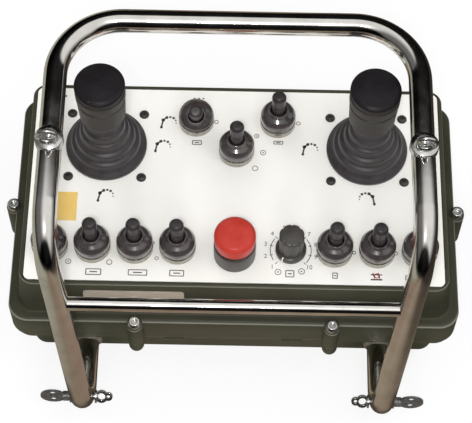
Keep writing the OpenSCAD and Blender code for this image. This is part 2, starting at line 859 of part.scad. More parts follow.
module grip_cap(s) color("black") {
    cap_z = stick_top - cap_h + touch_gap;
    translate([s * stick_x, stick_y, case_h]) rotate_extrude() polygon([
        [0, cap_z], [grip_r, cap_z], [grip_r, stick_top - cap_crown * 8 / 5],
        [grip_r - cap_crown / 2, stick_top - cap_crown],
        [grip_r - cap_crown * 7 / 5, stick_top - cap_crown / 2],
        [grip_r / 2, stick_top - cap_crown / 6], [0, stick_top]
    ]);
}

module toggle_bodies() color("dimgray") {
    at_toggles() difference() {
        union() {
            translate([-switch_half, -switch_half, panel_z - switch_flange_t - switch_l])
                cube([2 * switch_half, 2 * switch_half, switch_l]);
            translate([0, 0, panel_z - switch_flange_t]) cylinder(r = switch_flange_r, h = switch_flange_t);
            translate([0, 0, panel_z]) cylinder(r = bushing_r, h = panel_t + bushing_up);
        }
        translate([0, 0, toggle_pivot_z - socket_len]) cylinder(r = ball_r + run_gap, h = bushing_up);
        translate([0, 0, toggle_pivot_z + socket_len / 2])
            cylinder(r1 = ball_r + run_gap, r2 = ball_r + bushing_up, h = bushing_up);
        translate([0, 0, panel_z - overrun])
            cylinder(r1 = tail_bore_r, r2 = ball_r + run_gap,
                h = toggle_pivot_z - socket_len - panel_z + overrun);
        translate([0, 0, panel_z - switch_flange_t - tail_l])
            cylinder(r = tail_bore_r, h = tail_l + switch_flange_t - overrun / 2);
        translate([0, 0, toggle_pivot_z]) bar_x(pivot_pin_r + run_gap, 4 * bushing_r);
    }
}

module toggle_rings() color("silver") {
    at_toggles() translate([0, 0, case_h]) difference() {
        rotate_extrude() polygon([
            [0, 0], [ring_r, 0], [ring_r, ring_h - ring_edge], [ring_r - ring_edge, ring_h], [0, ring_h]
        ]);
        translate([0, 0, -overrun]) cylinder(r = bushing_r + run_gap, h = ring_h + 2 * overrun);
    }
}

// Space that a lever and its cap take, with a gap round it
module lever_space(gap) {
    cylinder(r = stem_r + gap, h = lever_top);
    translate([0, 0, ring_h + boot_h - toggle_pivot_up + cap_foot - gap])
        cylinder(r = lever_r + gap, h = lever_top);
}

module toggle_boots() color("black") {
    barrel_z = case_h + ring_h + touch_gap;
    collar_z = ring_h + boot_h - toggle_pivot_up - boot_wall / 2;
    for (k = [0 : len(toggle_places) - 1]) translate([toggle_places[k][0], toggle_places[k][1], 0])
        difference() {
            union() {
                translate([0, 0, barrel_z]) rotate_extrude() polygon([
                    [boot_r - boot_wall, 0], [boot_r, 0], [boot_r, boot_h - boot_shoulder],
                    [boot_r - boot_shoulder / 3, boot_h - boot_shoulder / 3],
                    [boot_r - boot_shoulder, boot_h], [0, boot_h], [0, boot_h - boot_wall],
                    [boot_r - boot_wall - boot_shoulder / 2, boot_h - boot_wall],
                    [boot_r - boot_wall, boot_h - boot_shoulder - boot_wall / 2]
                ]);
                translate([0, 0, toggle_pivot_z]) rotate([toggle_leans[k], 0, 0])
                    translate([0, 0, collar_z]) cylinder(r = boot_collar_r, h = boot_collar_h);
            }
            translate([0, 0, toggle_pivot_z]) rotate([toggle_leans[k], 0, 0]) lever_space(boot_gap);
            translate([0, 0, case_h]) cylinder(r = bushing_r + boot_gap, h = bushing_up);
        }
}

// Lever of toggle k, counted from nought, standing as the picture shows it
module toggle_lever(k) color("black") {
    cap_z = ring_h + boot_h - toggle_pivot_up + cap_foot;
    tip_z = lever_top - toggle_pivot_up;
    translate([toggle_places[k][0], toggle_places[k][1], toggle_pivot_z]) rotate([toggle_leans[k], 0, 0]) {
        sphere(r = ball_r);
        bar_x(pivot_pin_r, 2 * (bushing_r - pivot_pin_end));
        translate([0, 0, -tail_l]) cylinder(r = tail_r, h = tail_l);
        cylinder(r = stem_r, h = cap_z + cap_edge);
        rotate_extrude() polygon([
            [0, cap_z], [lever_r, cap_z], [lever_r, tip_z - cap_edge],
            [lever_r - cap_edge / 3, tip_z - cap_edge / 3], [lever_r - cap_edge, tip_z], [0, tip_z]
        ]);
    }
}

module at_stop() {
    translate([0, -stop_y, case_h]) children();
}

module stop_collar() color("dimgray") {
    at_stop() difference() {
        union() {
            cylinder(r = stop_collar_r, h = stop_collar_h);
            translate([0, 0, -stop_neck_l]) cylinder(r = stop_neck_r, h = stop_neck_l);
        }
        translate([0, 0, -2 * stop_neck_l]) cylinder(r = plunger_r + plunger_gap, h = 4 * stop_neck_l);
        translate([0, 0, spring_well_floor]) cylinder(r = spring_well_r, h = stop_collar_h);
    }
}

module stop_nut() color("silver") {
    at_stop() translate([0, 0, -panel_t - touch_gap - stop_nut_h]) difference() {
        cylinder(r = stop_nut_r, h = stop_nut_h, $fn = 6);
        translate([0, 0, -overrun]) cylinder(r = stop_neck_r + run_gap, h = stop_nut_h + 2 * overrun);
    }
}

module stop_contacts() color("gray") {
    at_stop() translate([0, 0, -stop_neck_l - touch_gap - contacts_h]) difference() {
        translate([-contacts_w / 2, -contacts_d / 2, 0]) cube([contacts_w, contacts_d, contacts_h]);
        translate([0, 0, contacts_h - contacts_well]) cylinder(r = clip_r + slip_gap, h = contacts_h);
    }
}

module stop_plunger() color("white") {
    foot = stop_neck_l + clip_gap + clip_t + clip_foot;
    head_foot = stop_top - stop_head_h;
    at_stop() {
        translate([0, 0, -foot]) cylinder(r = plunger_r, h = foot + head_foot - touch_gap);
        translate([0, 0, clip_foot - foot]) cylinder(r = clip_r, h = clip_t);
        cylinder(r = plunger_neck_r, h = head_foot + plunger_neck_l);
    }
}

module stop_head() color("red") {
    h = stop_head_h;
    at_stop() translate([0, 0, stop_top - h]) difference() {
        rotate_extrude() polygon([
            [0, 0], [stop_head_r - head_edge / 3, 0], [stop_head_r, head_edge / 3],
            [stop_head_r, h - head_edge], [stop_head_r - head_edge / 4, h - head_edge / 2],
            [stop_head_r - head_edge * 4 / 5, h - head_edge / 5],
            [stop_head_r / 2, h - head_edge / 16], [0, h]
        ]);
        translate([0, 0, -overrun])
            cylinder(r = plunger_neck_r + run_gap, h = plunger_neck_l + overrun + slip_gap);
    }
}

module stop_spring() color("silver") {
    at_stop() translate([0, 0, spring_well_floor + touch_gap])
        coil(stop_spring_r, stop_spring_wire_r,
            stop_top - stop_head_h - spring_well_floor - 2 * touch_gap, stop_spring_curls);
}

module at_dial() {
    translate([dial_x, -lower_row_y, case_h]) children();
}

module dial_control() color("gray") {
    at_dial() difference() {
        union() {
            translate([0, 0, -panel_t - dial_body_l]) cylinder(r = dial_body_r, h = dial_body_l);
            translate([0, 0, -panel_t]) cylinder(r = dial_bushing_r, h = panel_t + dial_bushing_up);
            cylinder(r = dial_nut_r, h = dial_nut_h, $fn = 6);
        }
        translate([0, 0, -panel_t - dial_body_l / 2]) cylinder(r = dial_shaft_r + run_gap, h = dial_top);
    }
}

module dial_shaft() color("silver") {
    at_dial() translate([0, 0, -panel_t - dial_body_l / 2 + touch_gap])
        cylinder(r = dial_shaft_r, h = panel_t + dial_body_l / 2 + dial_top * dial_shaft_share);
}

module dial_knob() color("dimgray") {
    at_dial() difference() {
        union() {
            translate([0, 0, dial_clear]) cylinder(r = dial_skirt_r, h = dial_skirt_h);
            translate([0, 0, dial_clear])
                cylinder(r = dial_grip_r - dial_lobe_r / 3, h = dial_top - dial_clear);
            for (k = [0 : dial_lobes - 1]) rotate([0, 0, 360 * k / dial_lobes])
                translate([dial_grip_r - dial_lobe_r, 0, dial_clear])
                    cylinder(r = dial_lobe_r, h = dial_top - dial_clear - slip_gap);
        }
        translate([0, 0, -overrun]) {
            cylinder(r = dial_nut_r + slip_gap, h = dial_bushing_up + slip_gap + overrun);
            cylinder(r = dial_shaft_r + run_gap, h = dial_top * dial_shaft_share + 2 * overrun);
        }
    }
}

module at_standoffs() {
    for (x = [-standoff_x, 0, standoff_x], sy = [-1, 1]) translate([x, sy * standoff_y, 0])
        if (x != 0 || sy < 0) children();
}

module main_board() color("green") {
    translate([0, 0, board_z]) difference() {
        slab(board_w, board_d, board_t, board_corner_r);
        translate([0, 0, -overrun]) at_standoffs() cylinder(r = standoff_hole_r, h = board_t + 2 * overrun);
    }
}

module board_standoffs() color("gold") {
    at_standoffs() translate([0, 0, wall + touch_gap]) difference() {
        cylinder(r = standoff_r, h = board_z - wall - 2 * touch_gap);
        translate([0, 0, wall]) cylinder(r = standoff_hole_r, h = board_z);
    }
}

module radio_module() color("silver") {
    translate([0, module_y, board_z + board_t + touch_gap])
        slab(module_w, module_d, module_h, board_corner_r);
}

module antenna() color("black") {
    foot_z = board_z + board_t + touch_gap;
    translate([antenna_x, antenna_y, foot_z]) {
        cylinder(r = 2 * antenna_r, h = antenna_r);
        cylinder(r = antenna_r, h = panel_z - foot_z - antenna_clear);
    }
}

module battery_pack() color("darkslategray") {
    translate([0, service_y, 2 * service_t + touch_gap])
        slab(plate_hole_w - 2 * (plate_ledge + battery_gap),
            plate_hole_d - 2 * (plate_ledge + battery_gap), battery_h, service_r);
}

module at_plate_screws() {
    out_x = plate_hole_w / 2 - plate_screw_in;
    out_y = plate_hole_d / 2 - plate_screw_in;
    for (sx = [-1, 1], sy = [-1, 1]) translate([sx * out_x, service_y + sy * out_y, 0]) children();
}

// Countersunk screw of the service plate, standing on its head, with a gap round it
module plate_screw(gap, tail) {
    translate([0, 0, -gap]) cylinder(r = plate_screw_head_r + gap, h = plate_screw_head_t + gap);
    translate([0, 0, plate_screw_head_t])
        cylinder(r1 = plate_screw_head_r + gap, r2 = plate_screw_r + gap,
            h = plate_screw_head_r - plate_screw_r);
    cylinder(r = plate_screw_r + gap, h = plate_screw_l + tail);
}

module service_plate() color("darkolivegreen") {
    difference() {
        translate([0, service_y, 0]) {
            slab(plate_hole_w - 2 * slip_gap, plate_hole_d - 2 * slip_gap, service_t, service_r);
            translate([0, 0, service_t])
                slab(plate_hole_w - 2 * (plate_ledge + slip_gap),
                    plate_hole_d - 2 * (plate_ledge + slip_gap), service_t, service_r);
        }
        at_plate_screws() plate_screw(run_gap, overrun);
    }
}

module plate_screws() color("silver") {
    at_plate_screws() plate_screw(0, 0);
}

lower_case();
upper_cover();
case_seal();
control_panel();
panel_seal();
case_screws();
nameplate();
guard_hoop();
cross_bar();
hoop_collars();
hoop_end_bolts();
plate_screws();
strap_eyes();
eye_screws();
strap_pin(-1);  // left_strap_pin
strap_pin(1);  // right_strap_pin
strap_tag(-1);  // left_strap_tag
strap_tag(1);  // right_strap_tag
joystick_housings();
joystick_screws();
bellows(-1);  // left_bellows
bellows(1);  // right_bellows
gimbal(-1);  // left_gimbal
gimbal(1);  // right_gimbal
shaft(-1);  // left_shaft
shaft(1);  // right_shaft
centring_spring(-1);  // left_spring
centring_spring(1);  // right_spring
grip(-1);  // left_grip
grip(1);  // right_grip
grip_cap(-1);  // left_grip_cap
grip_cap(1);  // right_grip_cap
toggle_bodies();
toggle_rings();
toggle_boots();
toggle_lever(0);  // toggle_lever_1
toggle_lever(1);  // toggle_lever_2
toggle_lever(2);  // toggle_lever_3
toggle_lever(3);  // toggle_lever_4
toggle_lever(4);  // toggle_lever_5
toggle_lever(5);  // toggle_lever_6
toggle_lever(6);  // toggle_lever_7
toggle_lever(7);  // toggle_lever_8
toggle_lever(8);  // toggle_lever_9
toggle_lever(9);  // toggle_lever_10
stop_collar();
stop_nut();
stop_contacts();
stop_plunger();
stop_head();
stop_spring();
dial_control();
dial_shaft();
dial_knob();
main_board();
board_standoffs();
radio_module();
antenna();
battery_pack();
service_plate();
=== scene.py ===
"""Looks of a crane radio remote: moulded case, printed panel, bent chrome guard and its controls.

Lengths in this file are in millimetres until a mesh is written, which is in metres.
"""

import math

import bmesh
import bpy
from mathutils import Matrix, Vector


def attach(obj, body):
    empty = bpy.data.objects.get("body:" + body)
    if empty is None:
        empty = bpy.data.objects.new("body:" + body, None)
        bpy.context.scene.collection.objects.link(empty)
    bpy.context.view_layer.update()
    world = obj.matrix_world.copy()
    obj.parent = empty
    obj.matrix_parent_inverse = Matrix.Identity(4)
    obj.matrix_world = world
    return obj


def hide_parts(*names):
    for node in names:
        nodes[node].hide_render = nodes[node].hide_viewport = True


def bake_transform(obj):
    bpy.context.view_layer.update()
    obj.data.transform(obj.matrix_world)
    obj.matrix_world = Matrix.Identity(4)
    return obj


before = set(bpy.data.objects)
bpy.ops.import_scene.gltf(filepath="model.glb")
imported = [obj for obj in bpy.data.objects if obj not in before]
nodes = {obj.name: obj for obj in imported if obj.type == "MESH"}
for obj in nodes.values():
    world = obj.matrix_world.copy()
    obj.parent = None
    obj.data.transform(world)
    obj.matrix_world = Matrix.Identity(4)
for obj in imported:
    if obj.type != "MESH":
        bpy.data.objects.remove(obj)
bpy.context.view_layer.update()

MM = 0.001

# Case: width and depth over its rim, and the heights of its steps
CASE_W = 402.0
CASE_D = 230.0
RIM_FOOT = 52.0
RIM_TOP = 86.0
COVER_ROOF = 82.0
SEAL_Z = 128.5
PANEL_TOP = 133.0

# Screw lugs round the case: radius, how far their centres stand out, and where they are
LUG_R = 7.0
LUG_OUT = 2.0
LUG_X = 87.5
LUG_SIDE_Y = -1.5
LUGS = [(x, y) for y in (-CASE_D / 2 - LUG_OUT, CASE_D / 2 + LUG_OUT) for x in (-LUG_X, LUG_X)]
LUGS += [(side * (CASE_W / 2 + LUG_OUT), LUG_SIDE_Y) for side in (-1, 1)]

# Guard: half size of its tube, and where its feet, legs, rails and cross bar run
TUBE_R = 10.0
FOOT_X = 134.0
FOOT_Y = -100.0
FOOT_Z = 14.0
TOE_Y = -171.5
RAIL_X = 153.5
RAIL_Z = 251.0
RAIL_FRONT_Y = -121.4
RAIL_REAR_Y = 93.0
TOE_BEND = 22.0
FRONT_BEND = 48.0
REAR_BEND = 55.0
BAR_R = 6.0
BAR_END_X = 145.5
BAR_Y = -137.9
BAR_Z = 173.0
EYE_Y = -35.0
EYE_Z = 272.5
EYE_R = 8.0
EYE_WIRE_R = 2.0
SADDLE_Y = -29.5
EYE_SCREW_Y = -28.0

# Controls on the panel
STICK_X = 117.5
STICK_Y = 37.5
STICK_SCREW_OUT = 32.7
TOGGLE_PIVOT_Z = 139.0
TOGGLE_LEAN = 22.0
ROW_Y = -65.0
ROW_INNER_X = 50.0
ROW_STEP = 37.2
TOGGLES = [(-37, 64), (0, 33), (37, 64)]
TOGGLES += [(-ROW_INNER_X - ROW_STEP * k, ROW_Y) for k in (3, 2, 1, 0)]
TOGGLES += [(ROW_INNER_X + ROW_STEP * k, ROW_Y) for k in (1, 2, 3)]
STOP_Y = -69.0
STOP_HEAD_FOOT = 157.0
DIAL_X = 49.0
DIAL_COUNT = 10
DIAL_FIRST_ANGLE = 225
DIAL_STEP_ANGLE = 30
DIAL_LINE_R = 18.0
DIAL_NUMBER_R = 22.8
DIAL_NUMBER_H = 5.8


# Shapes


def arc_corner(before, corner, after, radius, steps=5):
    """Points that round a corner of a flat outline; the corner may carry more values after its first two."""
    p, a, b = Vector(corner[:2]), Vector(before[:2]), Vector(after[:2])
    u, v = (a - p), (b - p)
    if radius <= 0 or u.length < 1e-6 or v.length < 1e-6:
        return [tuple(corner)]
    u.normalize()
    v.normalize()
    half = math.acos(max(-1, min(1, u.dot(v)))) / 2
    if half > math.radians(88):
        return [tuple(corner)]
    back = min(radius / math.tan(half), (a - p).length * 0.49, (b - p).length * 0.49)
    radius = back * math.tan(half)
    centre = p + (u + v).normalized() * (radius / math.sin(half))
    start, end = p + u * back, p + v * back
    a0 = math.atan2(start.y - centre.y, start.x - centre.x)
    a1 = math.atan2(end.y - centre.y, end.x - centre.x)
    turn = (a1 - a0 + math.pi) % (2 * math.pi) - math.pi
    out = []
    for k in range(steps + 1):
        angle = a0 + turn * k / steps
        x = centre.x + radius * math.cos(angle)
        y = centre.y + radius * math.sin(angle)
        out.append((x, y) + tuple(corner[2:]))
    return out


def soften(points, closed=False, steps=5):
    """Outline from (first, second, fillet, more...) points, with each corner rounded by its fillet."""
    bare = [(p[0], p[1]) + tuple(p[3:]) for p in points]
    out = []
    last = len(points) - 1
    for k, p in enumerate(points):
        if not closed and k in (0, last):
            out.append(bare[k])
            continue
        out += arc_corner(bare[k - 1], bare[k], bare[(k + 1) % len(bare)], p[2], steps)
    return out


def round_rect(width, depth, radius, steps=10):
    """Loop of a rectangle with rounded corners, anticlockwise from above."""
    loop = []
    for k, (sx, sy) in enumerate(((1, 1), (-1, 1), (-1, -1), (1, -1))):
        cx, cy = sx * (width / 2 - radius), sy * (depth / 2 - radius)
        for i in range(steps + 1):
            angle = math.radians(90 * (k + i / steps))
            loop.append((cx + radius * math.cos(angle), cy + radius * math.sin(angle)))
    return loop


def skin(loops, closed):
    """Points and faces of a skin over equal loops; closed joins the last loop to the first."""
    n = len(loops[0])
    points = [p for loop in loops for p in loop]
    faces = []
    rounds = len(loops) if closed else len(loops) - 1
    for r in range(rounds):
        a, b = r * n, ((r + 1) % len(loops)) * n
        for i in range(n):
            j = (i + 1) % n
            faces.append((a + i, a + j, b + j, b + i))
    if not closed:
        faces.append(tuple(reversed(range(n))))
        faces.append(tuple(range((len(loops) - 1) * n, len(loops) * n)))
    return points, faces


def turned(profile, steps=64, closed=False, at=(0, 0, 0)):
    """Points and faces of a profile of (radius, height) turned about a vertical axis."""
    points, faces, rings = [], [], []
    for r, z in profile:
        if r < 1e-6:
            rings.append([len(points)])
            points.append((at[0], at[1], at[2] + z))
            continue
        rings.append(list(range(len(points), len(points) + steps)))
        for i in range(steps):
            a = 2 * math.pi * i / steps
            points.append((at[0] + r * math.cos(a), at[1] + r * math.sin(a), at[2] + z))
    rounds = len(rings) if closed else len(rings) - 1
    for k in range(rounds):
        a, b = rings[k], rings[(k + 1) % len(rings)]
        for i in range(steps):
            j = (i + 1) % steps
            if len(a) == 1 and len(b) == 1:
                break
            if len(a) == 1:
                faces.append((a[0], b[j], b[i]))
            elif len(b) == 1:
                faces.append((a[i], a[j], b[0]))
            else:
                faces.append((a[i], a[j], b[j], b[i]))
    return points, faces


def swept(path, radius, steps=48, closed=False):
    """Points and faces of a round bar along a path, with frames carried along it without twist."""
    path = [Vector(p) for p in path]
    n = len(path)
    ways = []
    for k in range(n):
        a = path[(k - 1) % n] if closed or k else path[0]
        b = path[(k + 1) % n] if closed or k < n - 1 else path[-1]
        ways.append((b - a).normalized())
    side = ways[0].orthogonal().normalized()
    loops = []
    for k in range(n):
        side = (side - ways[k] * side.dot(ways[k])).normalized()
        up = ways[k].cross(side)
        loop = []
        for i in range(steps):
            a = 2 * math.pi * i / steps
            loop.append(tuple(path[k] + side * (radius * math.cos(a)) + up * (radius * math.sin(a))))
        loops.append(loop)
    return skin(loops, closed)


def moved(shape, matrix):
    """Shape carried by a matrix."""
    return [tuple(matrix @ Vector(p)) for p in shape[0]], shape[1]


def together(*shapes):
    """Several shapes as one."""
    points, faces = [], []
    for shape in shapes:
        shift = len(points)
        points += shape[0]
        faces += [tuple(i + shift for i in f) for f in shape[1]]
    return points, faces


def block(x0, x1, y0, y1, z0, z1, edge):
    """Brick with eased upright edges."""
    loop = round_rect(x1 - x0, y1 - y0, edge, 3)
    cx, cy = (x0 + x1) / 2, (y0 + y1) / 2
    return skin([[(cx + x, cy + y, z) for x, y in loop] for z in (z0, z1)], False)


def linked(name, data):
    """New object of this data, in the scene."""
    obj = bpy.data.objects.new(name, data)
    bpy.context.scene.collection.objects.link(obj)
    return obj


def piece(name, shape, material, smooth=38, body=None, replaces=()):
    """Mesh object of a shape, closed and facing outwards, on a body."""
    mesh = bpy.data.meshes.new(name)
    mesh.from_pydata([tuple(c * MM for c in p) for p in shape[0]], [], shape[1])
    work = bmesh.new()
    work.from_mesh(mesh)
    bmesh.ops.remove_doubles(work, verts=work.verts, dist=1e-7)
    bmesh.ops.recalc_face_normals(work, faces=work.faces)
    work.to_mesh(mesh)
    work.free()
    mesh.shade_smooth()
    mesh.set_sharp_from_angle(angle=math.radians(smooth))
    obj = linked(name, mesh)
    mesh.materials.append(material)
    if body:
        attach(obj, body)
    if replaces:
        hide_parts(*replaces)
    return obj


def add(tree, kind, links=(), settings=(), **values):
    """Node with its settings, its socket values and its links."""
    made = tree.nodes.new(kind)
    for key, value in dict(settings).items():
        setattr(made, key, value)
    for key, value in values.items():
        made.inputs[key.replace("_", " ")].default_value = value
    for key, source in dict(links).items():
        tree.links.new(source, made.inputs[key])
    return made


def repeated(name, master, places, turns, material, body, replaces=()):
    """One master shape set on many places, each turned about the vertical by its angle, as one plain mesh."""
    carrier_mesh = bpy.data.meshes.new(name + "_places")
    carrier_mesh.from_pydata([tuple(c * MM for c in p) for p in places], [], [])
    turn = carrier_mesh.attributes.new("turn", "FLOAT_VECTOR", "POINT")
    turn.data.foreach_set("vector", [v for t in turns for v in (0.0, 0.0, math.radians(t))])
    carrier = linked(name + "_carrier", carrier_mesh)
    tree = bpy.data.node_groups.new(name + "_on_places", "GeometryNodeTree")
    face = tree.interface
    face.new_socket(name="Geometry", in_out="INPUT", socket_type="NodeSocketGeometry")
    piece_socket = face.new_socket(name="Piece", in_out="INPUT", socket_type="NodeSocketObject")
    size_socket = face.new_socket(name="Size", in_out="INPUT", socket_type="NodeSocketFloat")
    finish_socket = face.new_socket(name="Finish", in_out="INPUT", socket_type="NodeSocketMaterial")
    face.new_socket(name="Geometry", in_out="OUTPUT", socket_type="NodeSocketGeometry")
    entry = add(tree, "NodeGroupInput")
    info = add(tree, "GeometryNodeObjectInfo", {"Object": entry.outputs["Piece"]}, As_Instance=True)
    named = add(tree, "GeometryNodeInputNamedAttribute", (), {"data_type": "FLOAT_VECTOR"}, Name="turn")
    facing = add(tree, "FunctionNodeEulerToRotation", {"Euler": named.outputs["Attribute"]})
    spread = add(tree, "GeometryNodeInstanceOnPoints", {
        "Points": entry.outputs["Geometry"],
        "Instance": info.outputs["Geometry"],
        "Rotation": facing.outputs["Rotation"],
        "Scale": entry.outputs["Size"],
    })
    real = add(tree, "GeometryNodeRealizeInstances", {"Geometry": spread.outputs["Instances"]})
    coat = add(tree, "GeometryNodeSetMaterial", {
        "Geometry": real.outputs["Geometry"],
        "Material": entry.outputs["Finish"],
    })
    add(tree, "NodeGroupOutput", {"Geometry": coat.outputs["Geometry"]})
    modifier = carrier.modifiers.new("places", "NODES")
    modifier.node_group = tree
    modifier[piece_socket.identifier] = master
    modifier[size_socket.identifier] = 1.0
    modifier[finish_socket.identifier] = material
    bpy.context.view_layer.update()
    graph = bpy.context.evaluated_depsgraph_get()
    mesh = bpy.data.meshes.new_from_object(carrier.evaluated_get(graph))
    mesh.name = name
    carrier.modifiers.clear()
    bpy.data.objects.remove(carrier)
    bpy.data.objects.remove(master)
    mesh.materials.clear()
    mesh.materials.append(material)
    if "turn" in mesh.attributes:
        mesh.attributes.remove(mesh.attributes["turn"])
    obj = linked(name, mesh)
    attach(obj, body)
    if replaces:
        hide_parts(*replaces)
    return obj


# Materials


def colour(hexcode):
    """sRGB hex to the linear values that a shader takes."""
    parts = [int(hexcode[k : k + 2], 16) / 255 for k in (1, 3, 5)]
    lin = [c / 12.92 if c <= 0.04045 else ((c + 0.055) / 1.055) ** 2.4 for c in parts]
    return (*lin, 1.0)


def bare_material(name):
    """New material and its node tree, which is empty."""
    made = bpy.data.materials.new(name)
    made.use_nodes = True
    made.node_tree.nodes.clear()
    return made, made.node_tree


def per_metre(millimetres):
    """Scale of a pattern whose features are this far apart."""
    return 1000.0 / millimetres


def finish(name, low, high, patch_mm, roughness, bump_mm=0.0, bump_size=1.0, metallic=0.0,
           rough_spread=0.06, edge_mm=0.0, stretch=(1, 1, 1), **fixed):
    """Material whose colour drifts between two tones, whose gloss varies and whose skin has a fine relief."""
    made, tree = bare_material(name)
    where = add(tree, "ShaderNodeTexCoord")
    laid = add(tree, "ShaderNodeMapping", {"Vector": where.outputs["Object"]}, Scale=stretch)
    patches = add(tree, "ShaderNodeTexNoise", {"Vector": laid.outputs["Vector"]},
                  Scale=per_metre(patch_mm), Detail=4.0, Roughness=0.55)
    tones = add(tree, "ShaderNodeValToRGB", {"Fac": patches.outputs["Fac"]})
    tones.color_ramp.elements[0].position = 0.32
    tones.color_ramp.elements[0].color = colour(low)
    tones.color_ramp.elements[1].position = 0.68
    tones.color_ramp.elements[1].color = colour(high)
    gloss = add(tree, "ShaderNodeMapRange", {"Value": patches.outputs["Fac"]},
                From_Min=0.3, From_Max=0.7,
                To_Min=roughness - rough_spread, To_Max=roughness + rough_spread)
    shader = add(tree, "ShaderNodeBsdfPrincipled", {
        "Base Color": tones.outputs["Color"],
        "Roughness": gloss.outputs["Result"],
    }, Metallic=metallic, **fixed)
    normal = None
    if edge_mm:
        # Eased edges of a moulded or deburred piece, so that they catch the light
        easing = add(tree, "ShaderNodeBevel", (), {"samples": 6}, Radius=edge_mm * MM)
        normal = easing.outputs["Normal"]
    if bump_mm:
        grain = add(tree, "ShaderNodeTexNoise", {"Vector": laid.outputs["Vector"]},
                    Scale=per_metre(bump_size), Detail=2.0, Roughness=0.5)
        relief = add(tree, "ShaderNodeBump", {"Height": grain.outputs["Fac"]},
                     Strength=1.0, Distance=bump_mm * MM)
        if normal is not None:
            tree.links.new(normal, relief.inputs["Normal"])
        normal = relief.outputs["Normal"]
    if normal is not None:
        tree.links.new(normal, shader.inputs["Normal"])
    add(tree, "ShaderNodeOutputMaterial", {"Surface": shader.outputs["BSDF"]})
    return made


# Glass-filled nylon of the case, spark-eroded mould: an olive skin with a soft grain and a dull sheen.
# The real grain of 0.4 mm is too fine to show, so it is drawn 1.4 mm wide.
case_nylon = finish("moulded_olive_nylon", "#3a3a2c", "#434334", 40, 0.46, 0.035, 1.4, edge_mm=1.2,
                    Specular_IOR_Level=0.25)
# Painted aluminium of the panel: warm white, nearly flat, with a faint orange peel
panel_paint = finish("warm_white_paint", "#f8f6f0", "#fcfaf5", 60, 0.42, 0.004, 3.0, edge_mm=0.3)
# Screen-printing ink on the panel: thin dark grey with uneven cover
print_ink = finish("dark_printing_ink", "#3a3a3a", "#565450", 2.0, 0.6, 0.004, 0.8)
red_ink = finish("red_printing_ink", "#a83a34", "#bd4a42", 2.0, 0.6, 0.004, 0.8)
# Chrome plating on drawn steel tube: a clear mirror with faint drawing lines and haze
tube_chrome = finish("chrome_plated_tube", "#cdcac4", "#dddad5", 18, 0.12, 0.004, 6.0,
                     metallic=1.0, rough_spread=0.03)
# Bright zinc plating on the pressed fittings: paler and a little duller than the tube
fitting_zinc = finish("bright_zinc_plate", "#b9b9b6", "#d2d2cf", 5, 0.24, 0.01, 1.5,
                      metallic=1.0, rough_spread=0.08, edge_mm=0.5)
# Dull zinc of the guard's foot collars: half matt, so that they show in the shade under the flange
collar_zinc = finish("dull_zinc_collar", "#6f6b60", "#8b877b", 5, 0.4, 0.01, 1.5, metallic=0.4, edge_mm=0.5)
# Worn steel of the round tags: mid grey with a soft glint
tag_steel = finish("worn_tag_steel", "#484645", "#7e7c7a", 2.2, 0.34, 0.02, 0.9, metallic=0.5,
                   rough_spread=0.1, edge_mm=0.3)
# Stainless steel of the screws, turned and tumbled
screw_steel = finish("tumbled_stainless_steel", "#c2c2bf", "#dcdcd9", 3, 0.28, 0.008, 0.8,
                     metallic=1.0, rough_spread=0.08, edge_mm=0.3)
# Nickel plating of the toggles' rings: greyer and duller, so that the white panel doesn't wash it out
ring_nickel = finish("nickel_plated_ring", "#98958d", "#b2afa6", 4, 0.24, 0.008, 0.8,
                     metallic=0.9, rough_spread=0.06, edge_mm=0.5)
# Black-oxide steel of the panel screws: dark with a soft metallic glint
black_steel = finish("black_oxide_steel", "#3d3c3a", "#565452", 2, 0.36, 0.01, 0.8,
                     metallic=0.6, rough_spread=0.08)
# Brushed aluminium of the nameplate: lines along its length
plate_aluminium = finish("brushed_aluminium", "#a59b8c", "#b5ab9c", 1.2, 0.42, 0.01, 0.6,
                         metallic=0.35, edge_mm=0.4, stretch=(0.06, 1, 1))
# Neoprene of the joysticks' bellows: very dark, with chalky bloom and a fine pebble
bellows_rubber = finish("neoprene_bellows", "#2b2628", "#383335", 9, 0.46, 0.02, 1.2, Sheen_Weight=0.1)
# PVC of the toggles' boots: smoky grey-brown and glossy
boot_vinyl = finish("smoky_vinyl", "#3a3434", "#464040", 8, 0.22, 0.006, 3.0, rough_spread=0.03,
                    Coat_Weight=0.7, Coat_Roughness=0.04)
# Hard rubber of the toggles' lever caps: nearly black, with a soft glint
lever_rubber = finish("lever_rubber", "#292526", "#353031", 4, 0.34, 0.012, 0.9)
# Polyamide of the joysticks' grips: black with a leathery mould grain.
# The real grain of 0.5 mm is drawn 1.3 mm wide to show. The caps are darker, with less sheen.
grip_nylon = finish("grip_polyamide", "#2a2624", "#342f2c", 12, 0.46, 0.03, 1.3, Specular_IOR_Level=0.35)
cap_nylon = finish("grip_cap_polyamide", "#171517", "#1f1c1f", 12, 0.42, 0.02, 1.6, Specular_IOR_Level=0.2)
# Thermoplastic of the stop button's head: signal red with a low gloss
stop_red = finish("signal_red_plastic", "#b03127", "#ba3a30", 14, 0.34, 0.006, 2.5, edge_mm=0.3,
                  Specular_IOR_Level=0.3)
# Thermoplastic of the stop button's collar and the speed knob: dark grey, satin
grey_plastic = finish("grey_thermoplastic", "#393633", "#45423e", 8, 0.4, 0.012, 1.2, edge_mm=0.3)
# Paint filled into the knob's pointer: off-white and matt
pointer_white = finish("white_pointer_fill", "#e2e0da", "#eeece6", 3, 0.5, 0.004, 1.0)
# Foamed rubber of the seals, and the painted shade in the screws' cross recesses: black without a gloss
foam_and_recess_shade = finish("seal_foam_and_recess_shade", "#1f1f1f", "#2b2b2a", 3, 0.8, 0.05, 0.8)
# Polyester film of the plain label: warm yellow, smooth
label_film = finish("yellow_label_film", "#edc66c", "#f3cf7a", 10, 0.4, 0.004, 2.0)
